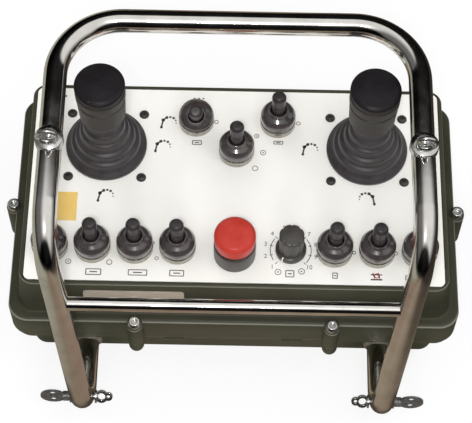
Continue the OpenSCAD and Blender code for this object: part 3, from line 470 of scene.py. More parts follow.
# Polyamide of the switches and housings inside: black and plain
inner_plastic = finish("inner_black_plastic", "#2a2a2a", "#353535", 10, 0.5, 0.02, 1.2)
# Machined aluminium of the gimbals: pale, with fine upright tool lines
gimbal_alloy = finish("machined_alloy", "#8f8f8c", "#a6a6a3", 2, 0.3, 0.006, 0.5, metallic=1.0,
                      stretch=(1, 1, 0.1))
# Glass laminate of the circuit board: green under a clear varnish
board_laminate = finish("green_board_laminate", "#0f4a26", "#16592f", 8, 0.35, 0.01, 2.0)
# Turned brass of the board's standoffs
standoff_brass = finish("machined_brass", "#a8843c", "#c29b4c", 2, 0.3, 0.005, 0.5, metallic=1.0)
# Tinned steel can of the radio module
module_can = finish("tinned_module_can", "#9a9a98", "#b0b0ae", 6, 0.32, 0.01, 2.0, metallic=1.0)
# Moulded shell of the battery pack: blue-black, satin
cell_wrap = finish("battery_shell_plastic", "#1d2a33", "#25333d", 12, 0.45, 0.015, 1.2)


def paint_light_bands(material, heights, tint, most=0.55):
    """Bands of another tint on a finish at some heights, each as (middle, half width) in millimetres: painted
    highlights and painted shade.
    """
    tree = material.node_tree
    shader = next(n for n in tree.nodes if n.type == "BSDF_PRINCIPLED")
    base = shader.inputs["Base Color"].links[0].from_socket
    where = add(tree, "ShaderNodeTexCoord")
    axes = add(tree, "ShaderNodeSeparateXYZ", {"Vector": where.outputs["Object"]})
    for middle, half in heights:
        away = add(tree, "ShaderNodeMath", {0: axes.outputs["Z"]}, {"operation": "SUBTRACT"})
        away.inputs[1].default_value = middle * MM
        size = add(tree, "ShaderNodeMath", {0: away.outputs[0]}, {"operation": "ABSOLUTE"})
        share = add(tree, "ShaderNodeMapRange", {"Value": size.outputs[0]},
                    {"interpolation_type": "SMOOTHSTEP"},
                    From_Min=0.0, From_Max=half * MM, To_Min=most, To_Max=0.0)
        mixed = add(tree, "ShaderNodeMix", {0: share.outputs["Result"], 6: base}, {"data_type": "RGBA"})
        mixed.inputs[7].default_value = colour(tint)
        base = mixed.outputs[2]
    tree.links.new(base, shader.inputs["Base Color"])


# Painted shade: the sides that lean in towards the panel are drawn darker
paint_light_bands(case_nylon, [(104, 40)], "#1d1d13", 0.62)
# Painted highlights: thin pale lines along the case's rim and lips
paint_light_bands(case_nylon, [(84.2, 1.4), (131.9, 0.9), (52.8, 0.7)], "#9a998c")


def dress(material, *names):
    """A CAD node keeps its shape and takes this finish."""
    for name in names:
        mesh = nodes[name].data
        if not mesh.materials:
            mesh.materials.append(material)
        for k in range(len(mesh.materials)):
            mesh.materials[k] = material


dress(case_nylon, "lower_case", "upper_cover", "service_plate")
dress(panel_paint, "control_panel")
dress(foam_and_recess_shade, "case_seal", "panel_seal")
dress(tube_chrome, "guard_hoop", "cross_bar")
dress(fitting_zinc, "strap_eyes", "left_strap_pin", "right_strap_pin")
dress(collar_zinc, "hoop_collars")
dress(tag_steel, "left_strap_tag", "right_strap_tag")
dress(screw_steel, "case_screws", "eye_screws", "plate_screws", "hoop_end_bolts", "stop_nut",
      "stop_spring", "left_spring", "right_spring", "dial_shaft")
dress(ring_nickel, "toggle_rings")
dress(black_steel, "joystick_screws")
dress(plate_aluminium, "nameplate")
dress(bellows_rubber, "left_bellows", "right_bellows")
dress(boot_vinyl, "toggle_boots")
dress(lever_rubber, *["toggle_lever_%d" % k for k in range(1, 11)])
dress(grip_nylon, "left_grip", "right_grip")
dress(cap_nylon, "left_grip_cap", "right_grip_cap")
dress(stop_red, "stop_head")
dress(grey_plastic, "stop_collar", "dial_knob")
dress(inner_plastic, "joystick_housings", "toggle_bodies", "stop_contacts", "dial_control", "antenna",
      "stop_plunger")
dress(gimbal_alloy, "left_gimbal", "right_gimbal", "left_shaft", "right_shaft")
dress(board_laminate, "main_board")
dress(standoff_brass, "board_standoffs")
dress(module_can, "radio_module")
dress(cell_wrap, "battery_pack")


# The cover: rim band, ledge, sides that lean in and the recess for the panel.
# Each point gives its inset from the rim, its height, its fillet and the case's corner radius there.

cover_outline = soften([
    (0.0, RIM_FOOT, 1.2, 18.0),
    (0.0, RIM_TOP, 3.2, 18.0),
    (9.0, RIM_TOP, 2.2, 15.0),
    (14.0, PANEL_TOP, 1.4, 12.5),
    (17.5, PANEL_TOP, 0.5, 5.5),
    (17.5, SEAL_Z, 0.3, 5.5),
    (24.0, SEAL_Z, 0.3, 5.0),
    (24.0, COVER_ROOF, 1.0, 5.0),
    (4.0, COVER_ROOF, 1.0, 14.0),
    (4.0, RIM_FOOT, 0.5, 14.0),
], closed=True)
cover_loops = []
for inset, z, corner_radius in cover_outline:
    flat_loop = round_rect(CASE_W - 2 * inset, CASE_D - 2 * inset, corner_radius, 12)
    cover_loops.append([(x, y, z) for x, y in flat_loop])
lug_outline = soften([(0, RIM_FOOT, 0), (LUG_R, RIM_FOOT, 0.8), (LUG_R, RIM_TOP, 1.6), (0, RIM_TOP, 0)])
lugs = [turned(lug_outline, 32, at=(x, y, 0)) for x, y in LUGS]
piece("cover_shell", together(skin(cover_loops, True), *lugs), case_nylon, 50, "case",
      ["upper_cover"])

# Round ends of the lower lugs, which hang under the flange
lug_end = soften([(0, 36.0, 0), (5.4, 36.3, 4.0), (LUG_R, 42.5, 1.0), (LUG_R, 48.0, 0), (0, 48.0, 0)])
lug_feet = [(x, y, 0) for x, y in LUGS]
master = piece("lug_end_master", turned(lug_end, 32), case_nylon)
repeated("lug_ends", master, lug_feet, [0] * len(LUGS), case_nylon, "case")

# Case screws: domed heads with a round socket, on shanks that run down through the lugs
SOCKET_FLOOR = 88.6
screw_outline = soften([
    (0, SOCKET_FLOOR, 0), (2.6, SOCKET_FLOOR, 0), (2.6, 91.5, 0.2), (4.4, 91.5, 0.8), (6.2, 89.2, 1.3),
    (6.2, RIM_TOP, 0.2), (2.9, RIM_TOP, 0.1), (2.9, 45.5, 0.4), (0, 45.5, 0),
])
master = piece("case_screw_master", turned(screw_outline, 36), screw_steel)
repeated("case_screw_heads", master, lug_feet, [0, 20, 40, 10, 30, 50], screw_steel, "case",
         ["case_screws"])

# Guard: one bent tube with a thin bar between its legs

half_guard = [
    ((FOOT_X, FOOT_Y, FOOT_Z), 0), ((FOOT_X, TOE_Y, FOOT_Z), TOE_BEND),
    ((RAIL_X, RAIL_FRONT_Y, RAIL_Z), FRONT_BEND), ((RAIL_X, RAIL_REAR_Y, RAIL_Z), REAR_BEND),
]
guard_path = [((-x, y, z), bend) for (x, y, z), bend in half_guard] + half_guard[::-1]


def bent(path, steps=20):
    """Centre line of a bent tube from its corners and bend radii."""
    out = [Vector(path[0][0])]
    for k in range(1, len(path) - 1):
        p, r = Vector(path[k][0]), path[k][1]
        a = (Vector(path[k - 1][0]) - p).normalized()
        b = (Vector(path[k + 1][0]) - p).normalized()
        half = math.acos(a.dot(b)) / 2
        back = r / math.tan(half)
        centre = p + (a + b).normalized() * (r / math.sin(half))
        start, end = p + a * back - centre, p + b * back - centre
        axis = start.cross(end).normalized()
        turn = start.angle(end)
        for i in range(steps + 1):
            out.append(centre + Matrix.Rotation(turn * i / steps, 3, axis) @ start)
    out.append(Vector(path[-1][0]))
    return out


# The skin lies a hair inside the solid's box, whose round bends have flats
SKIN_INSET = 0.05
piece("guard_tube", swept(bent(guard_path), TUBE_R - SKIN_INSET, 64), tube_chrome, 60, "case",
      ["guard_hoop"])
bar = swept([(-BAR_END_X, BAR_Y, BAR_Z), (BAR_END_X, BAR_Y, BAR_Z)], BAR_R, 48)
piece("thin_cross_bar", bar, tube_chrome, 60, "case", ["cross_bar"])

# Flared collars where the guard's feet meet the tub
flare = soften([(10.05, 0.0, 0), (13.5, 0.0, 0.6), (13.0, 3.2, 1.4), (10.8, 5.0, 0.6), (10.05, 5.0, 0)])
collars = []
for side in (-1, 1):
    place = Matrix.Translation((side * FOOT_X, FOOT_Y - 0.05, FOOT_Z)) @ Matrix.Rotation(math.pi / 2, 4, "X")
    collars.append(moved(turned(flare, 48, closed=True), place))
piece("foot_collars", together(*collars), collar_zinc, 40, "case", ["hoop_collars"])

# Strap eyes: a drawn ring on a round saddle, and the screw behind it
eyes = []
for side in (-1, 1):
    ring_path = []
    for k in range(48):
        a = 2 * math.pi * k / 48
        ring_path.append((side * RAIL_X + EYE_R * math.cos(a), EYE_Y, EYE_Z + EYE_R * math.sin(a)))
    eyes.append(swept(ring_path, EYE_WIRE_R, 20, closed=True))
    saddle = soften([(0, 255.0, 0), (12, 255.0, 0), (12, 262.0, 1.4), (8, 263.5, 1.0), (0, 263.5, 0)])
    eyes.append(turned(saddle, 48, at=(side * RAIL_X, SADDLE_Y, 0)))
piece("strap_rings", together(*eyes), fitting_zinc, 40, "case", ["strap_eyes"])
eye_screw = soften([(0, 263.4, 0), (3.8, 263.4, 0.2), (3.8, 265.4, 1.6), (1.6, 266.9, 0.8), (0, 266.9, 0)])
screw_domes = [turned(eye_screw, 32, at=(side * RAIL_X, EYE_SCREW_Y, 0)) for side in (-1, 1)]
piece("eye_screw_domes", together(*screw_domes), screw_steel, 40, "case", ["eye_screws"])

# Joysticks. Their outlines give radius, height above the panel and fillet.

foot_profile = soften([
    (35.0, 0.0, 0), (36.5, 0.0, 0.4), (36.5, 3.2, 2.2), (33.4, 5.8, 2.0), (31.0, 8.2, 2.5),
    (30.4, 13.6, 1.8), (27.0, 15.4, 1.6), (26.2, 22.4, 1.8), (22.8, 24.2, 1.6), (21.8, 28.4, 1.6),
])
neck_profile = soften([
    (21.8, 28.4, 0), (21.6, 31.4, 1.8), (18.8, 33.2, 1.4), (18.2, 40.2, 1.6), (15.8, 42.2, 1.4),
    (14.6, 47.0, 2.0), (14.2, 56.4, 0),
])
sleeve_profile = soften([
    (0, 57.0, 0), (18.6, 57.0, 0.4), (20.2, 58.8, 1.2), (21.2, 81.6, 1.5), (21.2, 83.0, 0.4),
    (20.0, 83.8, 0.4), (20.0, 85.4, 0.4), (21.7, 86.4, 0.6), (21.9, 95.4, 0.6), (20.9, 96.6, 0.5),
    (20.9, 98.9, 0.2), (0, 98.9, 0),
])
crown_profile = soften([
    (0, 99.05, 0), (20.6, 99.05, 0.2), (21.9, 100.2, 0.6), (21.9, 103.2, 2.4), (19.0, 105.4, 2.6),
    (10.0, 106.5, 12.0), (0, 106.9, 0),
], steps=8)
BELLOWS_WALL = 1.5


def walled(profile, wall):
    """Outline of a thin wall whose outer side is the profile."""
    return profile + [(r - wall, z) for r, z in reversed(profile)]


foot_wall = walled(foot_profile, BELLOWS_WALL)
neck_wall = walled(neck_profile, BELLOWS_WALL)
for side, name in ((-1, "left"), (1, "right")):
    x = side * STICK_X
    place = (x, STICK_Y, PANEL_TOP)
    stick, ring = name + "_joystick", name + "_gimbal_ring"
    # The foot reaches from the panel to the gimbal ring, the neck from the ring to the stick
    foot = piece(name + "_bellows_foot", turned(foot_wall, 72, True, place), bellows_rubber, 60)
    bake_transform(foot)
    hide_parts(name + "_bellows")
    neck = piece(name + "_bellows_neck", turned(neck_wall, 72, True, place), bellows_rubber, 60)
    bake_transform(neck)
    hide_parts(name + "_bellows")
    piece(name + "_grip_sleeve", turned(sleeve_profile, 72, at=place), grip_nylon, 40, stick,
          [name + "_grip"])
    piece(name + "_grip_crown", turned(crown_profile, 72, at=place), cap_nylon, 40, stick,
          [name + "_grip_cap"])

# Domed panel screws round the joysticks. Their cross recesses are painted shade: a thin black cross standing
# on each dome
screw_dome = soften([(0, 0.02, 0), (4.4, 0.02, 0.1), (4.4, 0.7, 0.5), (3.0, 2.2, 1.6), (0, 2.8, 0)], steps=6)
cross = together(block(-2.0, 2.0, -0.5, 0.5, 2.2, 2.86, 0.1), block(-0.5, 0.5, -2.0, 2.0, 2.2, 2.84, 0.1))
corners = []
for side in (-1, 1):
    for dx in (-STICK_SCREW_OUT, STICK_SCREW_OUT):
        for dy in (-STICK_SCREW_OUT, STICK_SCREW_OUT):
            corners.append((side * STICK_X + dx, STICK_Y + dy, PANEL_TOP))
# Each screw stopped at another angle when it was driven home
screw_turns = [k * 37 for k in range(len(corners))]
master = piece("panel_screw_master", turned(screw_dome, 32), black_steel)
repeated("panel_screw_domes", master, corners, screw_turns, black_steel, "case",
         ["joystick_screws"])
# Painted shade for the cross recesses, set on the same places and turns as the screws
master = piece("screw_recess_master", cross, foam_and_recess_shade)
repeated("panel_screw_recesses", master, corners, screw_turns, foam_and_recess_shade, "case")

# Toggle switches: bright ring, smoky boot and lever. The lever's outline is measured from its pivot.

ring_outline = soften([
    (6.2, 0.05, 0.1), (15.9, 0.05, 0.3), (16.0, 1.2, 0.3), (16.0, 6.6, 1.0), (14.9, 8.0, 0.5),
    (6.2, 8.0, 0.2),
], closed=True)
master = piece("boot_ring_master", turned(ring_outline, 56, closed=True), ring_nickel)
repeated("boot_rings", master, [(x, y, PANEL_TOP) for x, y in TOGGLES], [0] * len(TOGGLES), ring_nickel,
         "case", ["toggle_rings"])
boot_outline = soften([
    (14.0, 8.05, 0.2), (15.6, 8.05, 0.3), (15.7, 15.2, 4.0), (13.2, 19.2, 3.6), (9.2, 21.4, 1.6),
    (8.6, 24.0, 0.9), (7.0, 24.0, 0.6), (6.75, 20.4, 0.5), (12.0, 17.2, 2.0), (13.8, 13.6, 2.0),
], closed=True)
BALL_R = 2.95
ball = [(BALL_R * math.cos(math.radians(a)), BALL_R * math.sin(math.radians(a))) for a in range(-60, 41, 10)]
lever_outline = [(0, -7.0), (1.4, -7.0)] + ball + soften([
    (2.26, 2.0, 0), (2.26, 14.2, 0.2), (6.2, 14.6, 0.5), (5.7, 25.0, 0.8), (5.0, 26.6, 0.7),
    (6.2, 28.2, 1.0), (6.4, 38.6, 2.6), (4.6, 41.8, 2.2), (0, 42.0, 0),
], steps=6)
# Heights above the panel between which a thrown lever bends its boot
BEND_FOOT = 8.5
BEND_SPAN = 12.0


def leaning_boot(shape, pivot):
    """Boot bent about a lever's pivot, from its upright foot to its leaning top."""
    points = []
    for p in shape[0]:
        share = max(0.0, min(1.0, (p[2] - PANEL_TOP - BEND_FOOT) / BEND_SPAN))
        share = share * share * (3 - 2 * share)
        turn = Matrix.Rotation(math.radians(TOGGLE_LEAN) * share, 4, "X")
        points.append(tuple(pivot + (turn @ (Vector(p) - pivot))))
    return points, shape[1]


for k, (x, y) in enumerate(TOGGLES, 1):
    body = "toggle_%d" % k
    pivot = Vector((x, y, TOGGLE_PIVOT_Z))
    boot = turned(boot_outline, 56, True, (x, y, PANEL_TOP))
    lean = Matrix.Identity(4)
    if k == 1:
        # The first rear toggle rests thrown towards the front
        boot = leaning_boot(boot, pivot)
        lean = Matrix.Rotation(math.radians(TOGGLE_LEAN), 4, "X")
    boot_piece = piece("toggle_boot_%d" % k, boot, boot_vinyl, 60)
    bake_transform(boot_piece)
    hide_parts("toggle_boots")
    lever = moved(turned(lever_outline, 36), Matrix.Translation(pivot) @ lean)
    piece("lever_%d" % k, lever, lever_rubber, 40, body, ["toggle_lever_%d" % k])

# Stop button

STOP_SOCKET_R = 4.55
button = soften([
    (STOP_SOCKET_R, 0.0, 0.1), (17.2, 0.0, 0.4), (18.0, 1.0, 0.6), (18.0, 12.0, 3.2), (15.0, 15.0, 3.4),
    (8.0, 16.0, 10.0), (0, 16.0, 0),
], steps=8)
stop_socket = [(0, 8.6), (STOP_SOCKET_R, 8.6)]
piece("stop_button_head", turned(stop_socket + button, 72, at=(0, STOP_Y, STOP_HEAD_FOOT)), stop_red, 40,
      "stop_turn", ["stop_head"])
collar = soften([
    (13.5, 8.0, 0.1), (13.5, 20.5, 0.3), (18.0, 20.5, 0.8), (18.3, 19.0, 0.4), (18.3, 0.05, 0.5),
    (11.0, 0.05, 0.1), (11.0, -20.0, 0.4), (8.1, -20.0, 0.1), (8.1, 8.0, 0.1),
], closed=True)
piece("stop_button_collar", turned(collar, 72, True, (0, STOP_Y, PANEL_TOP)), grey_plastic, 40, "case",
      ["stop_collar"])

# Return spring under the head; on the real button it shortens as the head goes down
SPRING_R = 11.4
SPRING_WIRE_R = 0.8
SPRING_FOOT = 8.9
SPRING_H = 14.2
SPRING_CURLS = 5
CURL_STEPS = 24
coil = []
for k in range(SPRING_CURLS * CURL_STEPS + 1):
    a = 2 * math.pi * k / CURL_STEPS
    rise = SPRING_H * k / (SPRING_CURLS * CURL_STEPS)
    coil.append((SPRING_R * math.cos(a), STOP_Y + SPRING_R * math.sin(a), PANEL_TOP + SPRING_FOOT + rise))
spring = piece("stop_return_spring", swept(coil, SPRING_WIRE_R, 10), screw_steel, 60)
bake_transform(spring)
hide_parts("stop_spring")

# Speed knob: a lobed grip on a skirt

LOBE_H = 0.55
LOBE_START = 5.8
LOBE_RUN_IN = 2.0
KNOB_STEPS = 96
knob_outline = soften([
    (13.5, 0.8, 0.2), (13.5, 5.2, 1.0), (11.6, 6.2, 0.8), (10.5, 7.0, 0.6), (10.5, 28.8, 1.2),
    (8.6, 29.9, 0.8),
])
knob_loops = []
for r, z in knob_outline:
    share = max(0.0, min(1.0, (z - LOBE_START) / LOBE_RUN_IN))
    loop = []
    for i in range(KNOB_STEPS):
        a = 2 * math.pi * i / KNOB_STEPS
        # Eight broad lobes with narrow valleys between them
        wave = LOBE_H * share * (1 - 2 * (1 - abs(math.cos(4 * a + math.pi / 2))) ** 2.4)
        loop.append((DIAL_X + (r + wave) * math.cos(a), ROW_Y + (r + wave) * math.sin(a), PANEL_TOP + z))
    knob_loops.append(loop)
piece("speed_knob_grip", skin(knob_loops, False), grey_plastic, 45, "speed_knob",
      ["dial_knob"])

# White pointer: a thin strip that follows the skirt, near the dial's first number
POINTER_ANGLE = math.radians(236)
POINTER_HALF_W = 0.65
POINTER_LIFT = 0.12
pointer_route = [(10.6, 6.2), (13.3, 5.6), (13.62, 4.8), (13.62, 1.0)]
pointer_points = []
for r, z in pointer_route:
    for w in (-POINTER_HALF_W, POINTER_HALF_W):
        for lift in (0.0, POINTER_LIFT):
            x = DIAL_X + (r + lift) * math.cos(POINTER_ANGLE) - w * math.sin(POINTER_ANGLE)
            y = ROW_Y + (r + lift) * math.sin(POINTER_ANGLE) + w * math.cos(POINTER_ANGLE)
            pointer_points.append((x, y, PANEL_TOP + z + lift))
pointer_faces = []
for k in range(len(pointer_route) - 1):
    a, b = 4 * k, 4 * (k + 1)
    for i, j in ((0, 1), (1, 3), (3, 2), (2, 0)):
        pointer_faces.append((a + i, a + j, b + j, b + i))
pointer_faces += [(0, 1, 3, 2), (12, 13, 15, 14)]
piece("speed_knob_pointer", (pointer_points, pointer_faces), pointer_white, 40, "speed_knob")

# Printing on the panel: lines, rings, dots and simple shapes, and the dial's numbers

INK_LOW = PANEL_TOP - 0.05
INK_TOP = PANEL_TOP + 0.06


def flat(loop):
    """Film of ink with a flat outline."""
    return skin([[(x, y, z) for x, y in loop] for z in (INK_LOW, INK_TOP)], False)


def stroke(x0, y0, x1, y1, width):
    """Straight line of ink."""
    d = Vector((x1 - x0, y1 - y0)).normalized()
    n = Vector((-d.y, d.x)) * (width / 2)
    return flat([(x0 - n.x, y0 - n.y), (x1 - n.x, y1 - n.y), (x1 + n.x, y1 + n.y), (x0 + n.x, y0 + n.y)])


def dot(x, y, r):
    """Round spot of ink."""
    return flat([(x + r * math.cos(k * math.pi / 8), y + r * math.sin(k * math.pi / 8)) for k in range(16)])


def circle(x, y, r, width, start=0, end=360):
    """Ring or part of a ring, drawn in short flat lengths."""
    out = []
    count = max(4, int(abs(end - start) / 15))
    inner, outer = r - width / 2, r + width / 2
    for k in range(count):
        a = math.radians(start + (end - start) * k / count)
        b = math.radians(start + (end - start) * (k + 1) / count)
        ends = ((inner, a), (outer, a), (outer, b), (inner, b))
        out.append(flat([(x + reach * math.cos(t), y + reach * math.sin(t)) for reach, t in ends]))
    return out


def jib(x, y, mirror=1):
    """Bent line with a dotted arc at its tip."""
    out = [
        stroke(x - mirror * 6.4, y - 6.0, x - mirror * 4.8, y + 2.0, 1.5),
        stroke(x - mirror * 5.0, y + 2.0, x - mirror * 1.8, y + 4.6, 1.4),
        dot(x - mirror * 4.8, y + 2.0, 1.7), dot(x - mirror * 6.2, y - 5.6, 1.3),
        dot(x - mirror * 1.6, y + 4.7, 1.5),
    ]
    for dx, dy, r in ((1.6, 5.2, 1.1), (4.6, 4.2, 1.3), (6.6, 1.8, 0.8), (7.0, -1.0, 0.6)):
        out.append(dot(x + mirror * dx, y + dy, r))
    return out


def frame_mark(x, y, width, height):
    """Small open box with a bar in it."""
    w, h = width / 2, height / 2
    return [
        stroke(x - w, y - h, x + w, y - h, 0.8), stroke(x - w, y + h, x + w, y + h, 0.8),
        stroke(x - w, y - h, x - w, y + h, 0.8), stroke(x + w, y - h, x + w, y + h, 0.8),
        stroke(x - w * 0.5, y, x + w * 0.5, y, 1.0),
    ]


marks = []
marks += jib(-62.5, 63) + jib(-67, 38) + jib(-116, -13.5) + jib(66, 37.5) + jib(117, -12, -1)
for x, y, r in ((18, 50, 2.0), (24, 32.8, 2.4), (17, 16.5, 2.4), (-144.7, -79.5, 2.3), (-109, -79.5, 2.3),
                (38, -86, 2.6), (58.5, -85, 2.6), (-18.8, 64, 1.7), (55.8, 64, 1.7), (-72, -60, 1.5),
                (141, -66, 1.5), (176, -66, 1.5), (-68, -75, 1.5), (104.5, -66, 1.4)):
    marks += circle(x, y, r, 0.6)
for x, y in ((18, 50), (24, 32.8), (-144.7, -79.5), (38, -86), (58.5, -85)):
    marks.append(dot(x, y, 0.7))
marks += frame_mark(-122.4, -89, 13, 5.4) + frame_mark(-84, -89, 16, 5.0) + frame_mark(-50, -89, 12, 5.4)
marks += frame_mark(48.2, -87.5, 7, 6) + frame_mark(87.5, -88.5, 4, 5)
marks += frame_mark(152, -89.5, 6, 4.6) + frame_mark(-36, 42, 8, 4) + frame_mark(37.6, 43.5, 8, 3)
for x in (-40.2, -36.0, -32.0, 32.4, 36.6, 40.6):
    marks.append(stroke(x, 88.6, x + 1.6, 88.6, 1.2))
marks.append(dot(-157.2, 88.6, 1.0))
marks += circle(DIAL_X, ROW_Y, DIAL_LINE_R, 0.7, 142, 212)
marks += circle(DIAL_X, ROW_Y, DIAL_LINE_R, 0.7, -40, 38)
inner, outer = DIAL_LINE_R - 1.8, DIAL_LINE_R + 1.0
for k in range(DIAL_COUNT):
    a = math.radians(DIAL_FIRST_ANGLE - DIAL_STEP_ANGLE * k)
    marks.append(stroke(DIAL_X + inner * math.cos(a), ROW_Y + inner * math.sin(a),
                        DIAL_X + outer * math.cos(a), ROW_Y + outer * math.sin(a), 0.6))
marks.append(stroke(118.5, -87, 128.5, -87, 1.0))
marks.append(stroke(118.5, -91.6, 128.5, -91.6, 1.4))
piece("panel_printing", together(*marks), print_ink, 30, "case")
red_marks = [stroke(120.5, -85.2, 122.0, -90.4, 1.2), stroke(125.0, -85.2, 126.4, -90.4, 1.2)]
red_marks += circle(123.7, -88, 2.0, 0.8)
piece("panel_red_printing", together(*red_marks), red_ink, 30, "case")

# Plain numbers round the knob, clockwise from 1 at the lower left
for k in range(DIAL_COUNT):
    a = math.radians(DIAL_FIRST_ANGLE - DIAL_STEP_ANGLE * k)
    x, y = DIAL_X + DIAL_NUMBER_R * math.cos(a), ROW_Y + DIAL_NUMBER_R * math.sin(a)
    letters = bpy.data.curves.new("dial_number_%d" % (k + 1), "FONT")
    letters.body = str(k + 1)
    letters.size = DIAL_NUMBER_H * MM
    letters.extrude = 0.05 * MM
    letters.align_x = "CENTER"
    letters.align_y = "CENTER"
    text = linked("dial_number_text", letters)
    bpy.context.view_layer.update()
    graph = bpy.context.evaluated_depsgraph_get()
    mesh = bpy.data.meshes.new_from_object(text.evaluated_get(graph))
    bpy.data.objects.remove(text)
    mesh.transform(Matrix.Translation(Vector((x, y, PANEL_TOP + 0.02)) * MM))
    number = linked("dial_number_%d" % (k + 1), mesh)
    mesh.materials.clear()
    mesh.materials.append(print_ink)
    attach(number, "case")

# Plain yellow film label, half hidden under the left rail
label_loop = [(-161, -39.5), (-140.5, -39.5), (-140.5, -11), (-161, -11)]
label = skin([[(x, y, z) for x, y in label_loop] for z in (INK_LOW, PANEL_TOP + 0.12)], False)
piece("yellow_label", label, label_film, 30, "case")

# The room, in metres: pale floor, soft light, and sheets that only mirrors see

ROOM_HALF = 4.0
ROOM_H = 2.0
WARM_SHEET_Z = 0.0004


def room_coat(name, tint, glow):
    """Finish of the set: a tint that shows evenly in the picture and in mirrors, and holds soft shadows."""
    made, tree = bare_material(name)
    rays = add(tree, "ShaderNodeLightPath")
    matt = add(tree, "ShaderNodeBsdfDiffuse", Color=colour(tint))
    even = add(tree, "ShaderNodeEmission", Color=colour(tint), Strength=1.0)
    half = add(tree, "ShaderNodeMixShader", {1: matt.outputs[0], 2: even.outputs[0]}, Fac=glow)
    mirrored = {0: rays.outputs["Is Glossy Ray"], 1: rays.outputs["Is Transmission Ray"]}
    seen = add(tree, "ShaderNodeMath", mirrored, {"operation": "MAXIMUM"})
    shown = add(tree, "ShaderNodeMixShader",
                {0: rays.outputs["Is Camera Ray"], 1: matt.outputs[0], 2: half.outputs[0]})
    final = add(tree, "ShaderNodeMixShader", {0: seen.outputs[0], 1: shown.outputs[0], 2: even.outputs[0]})
    add(tree, "ShaderNodeOutputMaterial", {"Surface": final.outputs[0]})
    return made


def set_piece(name, quads, coat, mirrors_only=False):
    """Flat parts of the set; those for mirrors only give chrome its bright and dark streaks."""
    mesh = bpy.data.meshes.new(name)
    points = [p for quad in quads for p in quad]
    mesh.from_pydata(points, [], [tuple(range(4 * k, 4 * k + 4)) for k in range(len(quads))])
    mesh.materials.append(coat)
    obj = linked(name, mesh)
    if mirrors_only:
        obj.visible_camera = False
        obj.visible_diffuse = False
        obj.visible_shadow = False
        obj.visible_transmission = False
        obj.visible_volume_scatter = False


def level_sheet(z):
    """Corners of a level sheet as wide as the room."""
    return [(sx * ROOM_HALF, sy * ROOM_HALF, z) for sx, sy in ((-1, -1), (1, -1), (1, 1), (-1, 1))]


def wall(x0, y0, x1, y1):
    """Corners of an upright wall between two corners of the room."""
    return [(x0, y0, 0), (x1, y1, 0), (x1, y1, ROOM_H), (x0, y0, ROOM_H)]


def mirror_glow(name, eye):
    """Finish that only glows, with its node tree, its light and the place as seen from the eye."""
    made, tree = bare_material(name)
    where = add(tree, "ShaderNodeNewGeometry")
    place = add(tree, "ShaderNodeVectorMath", {0: where.outputs["Position"]}, {"operation": "SUBTRACT"})
    place.inputs[1].default_value = eye
    light = add(tree, "ShaderNodeEmission")
    add(tree, "ShaderNodeOutputMaterial", {"Surface": light.outputs[0]})
    return made, tree, light, place.outputs[0]


def faded(tree, fades):
    """Product of smooth fades; each row has a value, where it starts and ends, and the level at both."""
    level = None
    for value, start, end, at_start, at_end in fades:
        fade = add(tree, "ShaderNodeMapRange", {"Value": value}, {"interpolation_type": "SMOOTHSTEP"},
                   From_Min=start, From_Max=end, To_Min=at_start, To_Max=at_end).outputs["Result"]
        if level is not None:
            fade = add(tree, "ShaderNodeMath", {0: level, 1: fade}, {"operation": "MULTIPLY"}).outputs[0]
        level = fade
    return level


def soft_surround(name):
    """Painted reflection, a glow seen only in mirrors: bright overhead, faded behind, in front, low down and
    to the left, with a brighter patch overhead.
    """
    made, tree, light, place = mirror_glow(name, (0, 0, 0.25))
    # Slopes: how far right, back and up for each metre away from the line front to back through the eye
    aside = add(tree, "ShaderNodeVectorMath", {0: place}, {"operation": "MULTIPLY"})
    aside.inputs[1].default_value = (1, 0, 1)
    wide = add(tree, "ShaderNodeVectorMath", {0: aside.outputs[0]}, {"operation": "LENGTH"})
    slopes = add(tree, "ShaderNodeVectorMath", {0: place, 1: wide.outputs["Value"]}, {"operation": "DIVIDE"})
    slope = add(tree, "ShaderNodeSeparateXYZ", {"Vector": slopes.outputs[0]}).outputs
    patch = add(tree, "ShaderNodeVectorMath", {0: place}, {"operation": "DISTANCE"})
    patch.inputs[1].default_value = (-0.1, -1.0, 1.75)
    level = faded(tree, [
        (slope["Y"], 0.43, 0.535, 1.0, 0.008),
        (slope["Y"], -1.25, -0.7, 0.008, 1.0),
        (slope["Z"], -0.1, 0.6, 0.12, 1.0),
        (slope["X"], -0.7, -0.1, 0.2, 1.0),
        (patch.outputs["Value"], 0.1, 0.9, 1.5, 1.0),
    ])
    tree.links.new(level, light.inputs["Strength"])
    return made


def warm_floor_reflection(name, stops):
    """Painted floor reflection, a warm glow under the object seen only in mirrors: tints along X, dark far in
    front, and painted shade where the guard's feet shade the floor.
    """
    made, tree, light, place = mirror_glow(name, (0, 0, 0))
    axes = add(tree, "ShaderNodeSeparateXYZ", {"Vector": place}).outputs
    span = stops[-1][0] - stops[0][0]
    along = add(tree, "ShaderNodeMapRange", {"Value": axes["X"]}, From_Min=stops[0][0], From_Max=stops[-1][0])
    ramp = add(tree, "ShaderNodeValToRGB", {"Fac": along.outputs["Result"]})
    for x, tint in stops[1:-1]:
        ramp.color_ramp.elements.new((x - stops[0][0]) / span)
    for element, (x, tint) in zip(ramp.color_ramp.elements, stops):
        element.color = colour(tint)
    aside = add(tree, "ShaderNodeMath", {0: axes["X"]}, {"operation": "ABSOLUTE"}).outputs[0]
    lit = faded(tree, [(axes["Y"], -1.7, -0.5, 0.05, 1.0)])
    shade = faded(tree, [
        (axes["Y"], -0.215, -0.17, 0.0, 1.0),
        (aside, 0.095, 0.11, 0.0, 0.75),
        (aside, 0.17, 0.19, 1.0, 0.0),
    ])
    level = add(tree, "ShaderNodeMath", {0: lit, 1: shade}, {"operation": "SUBTRACT"})
    tree.links.new(ramp.outputs["Color"], light.inputs["Color"])
    tree.links.new(level.outputs[0], light.inputs["Strength"])
    return made


set_piece("floor", [level_sheet(0)], room_coat("pale_floor", "#ffffff", 0.8))
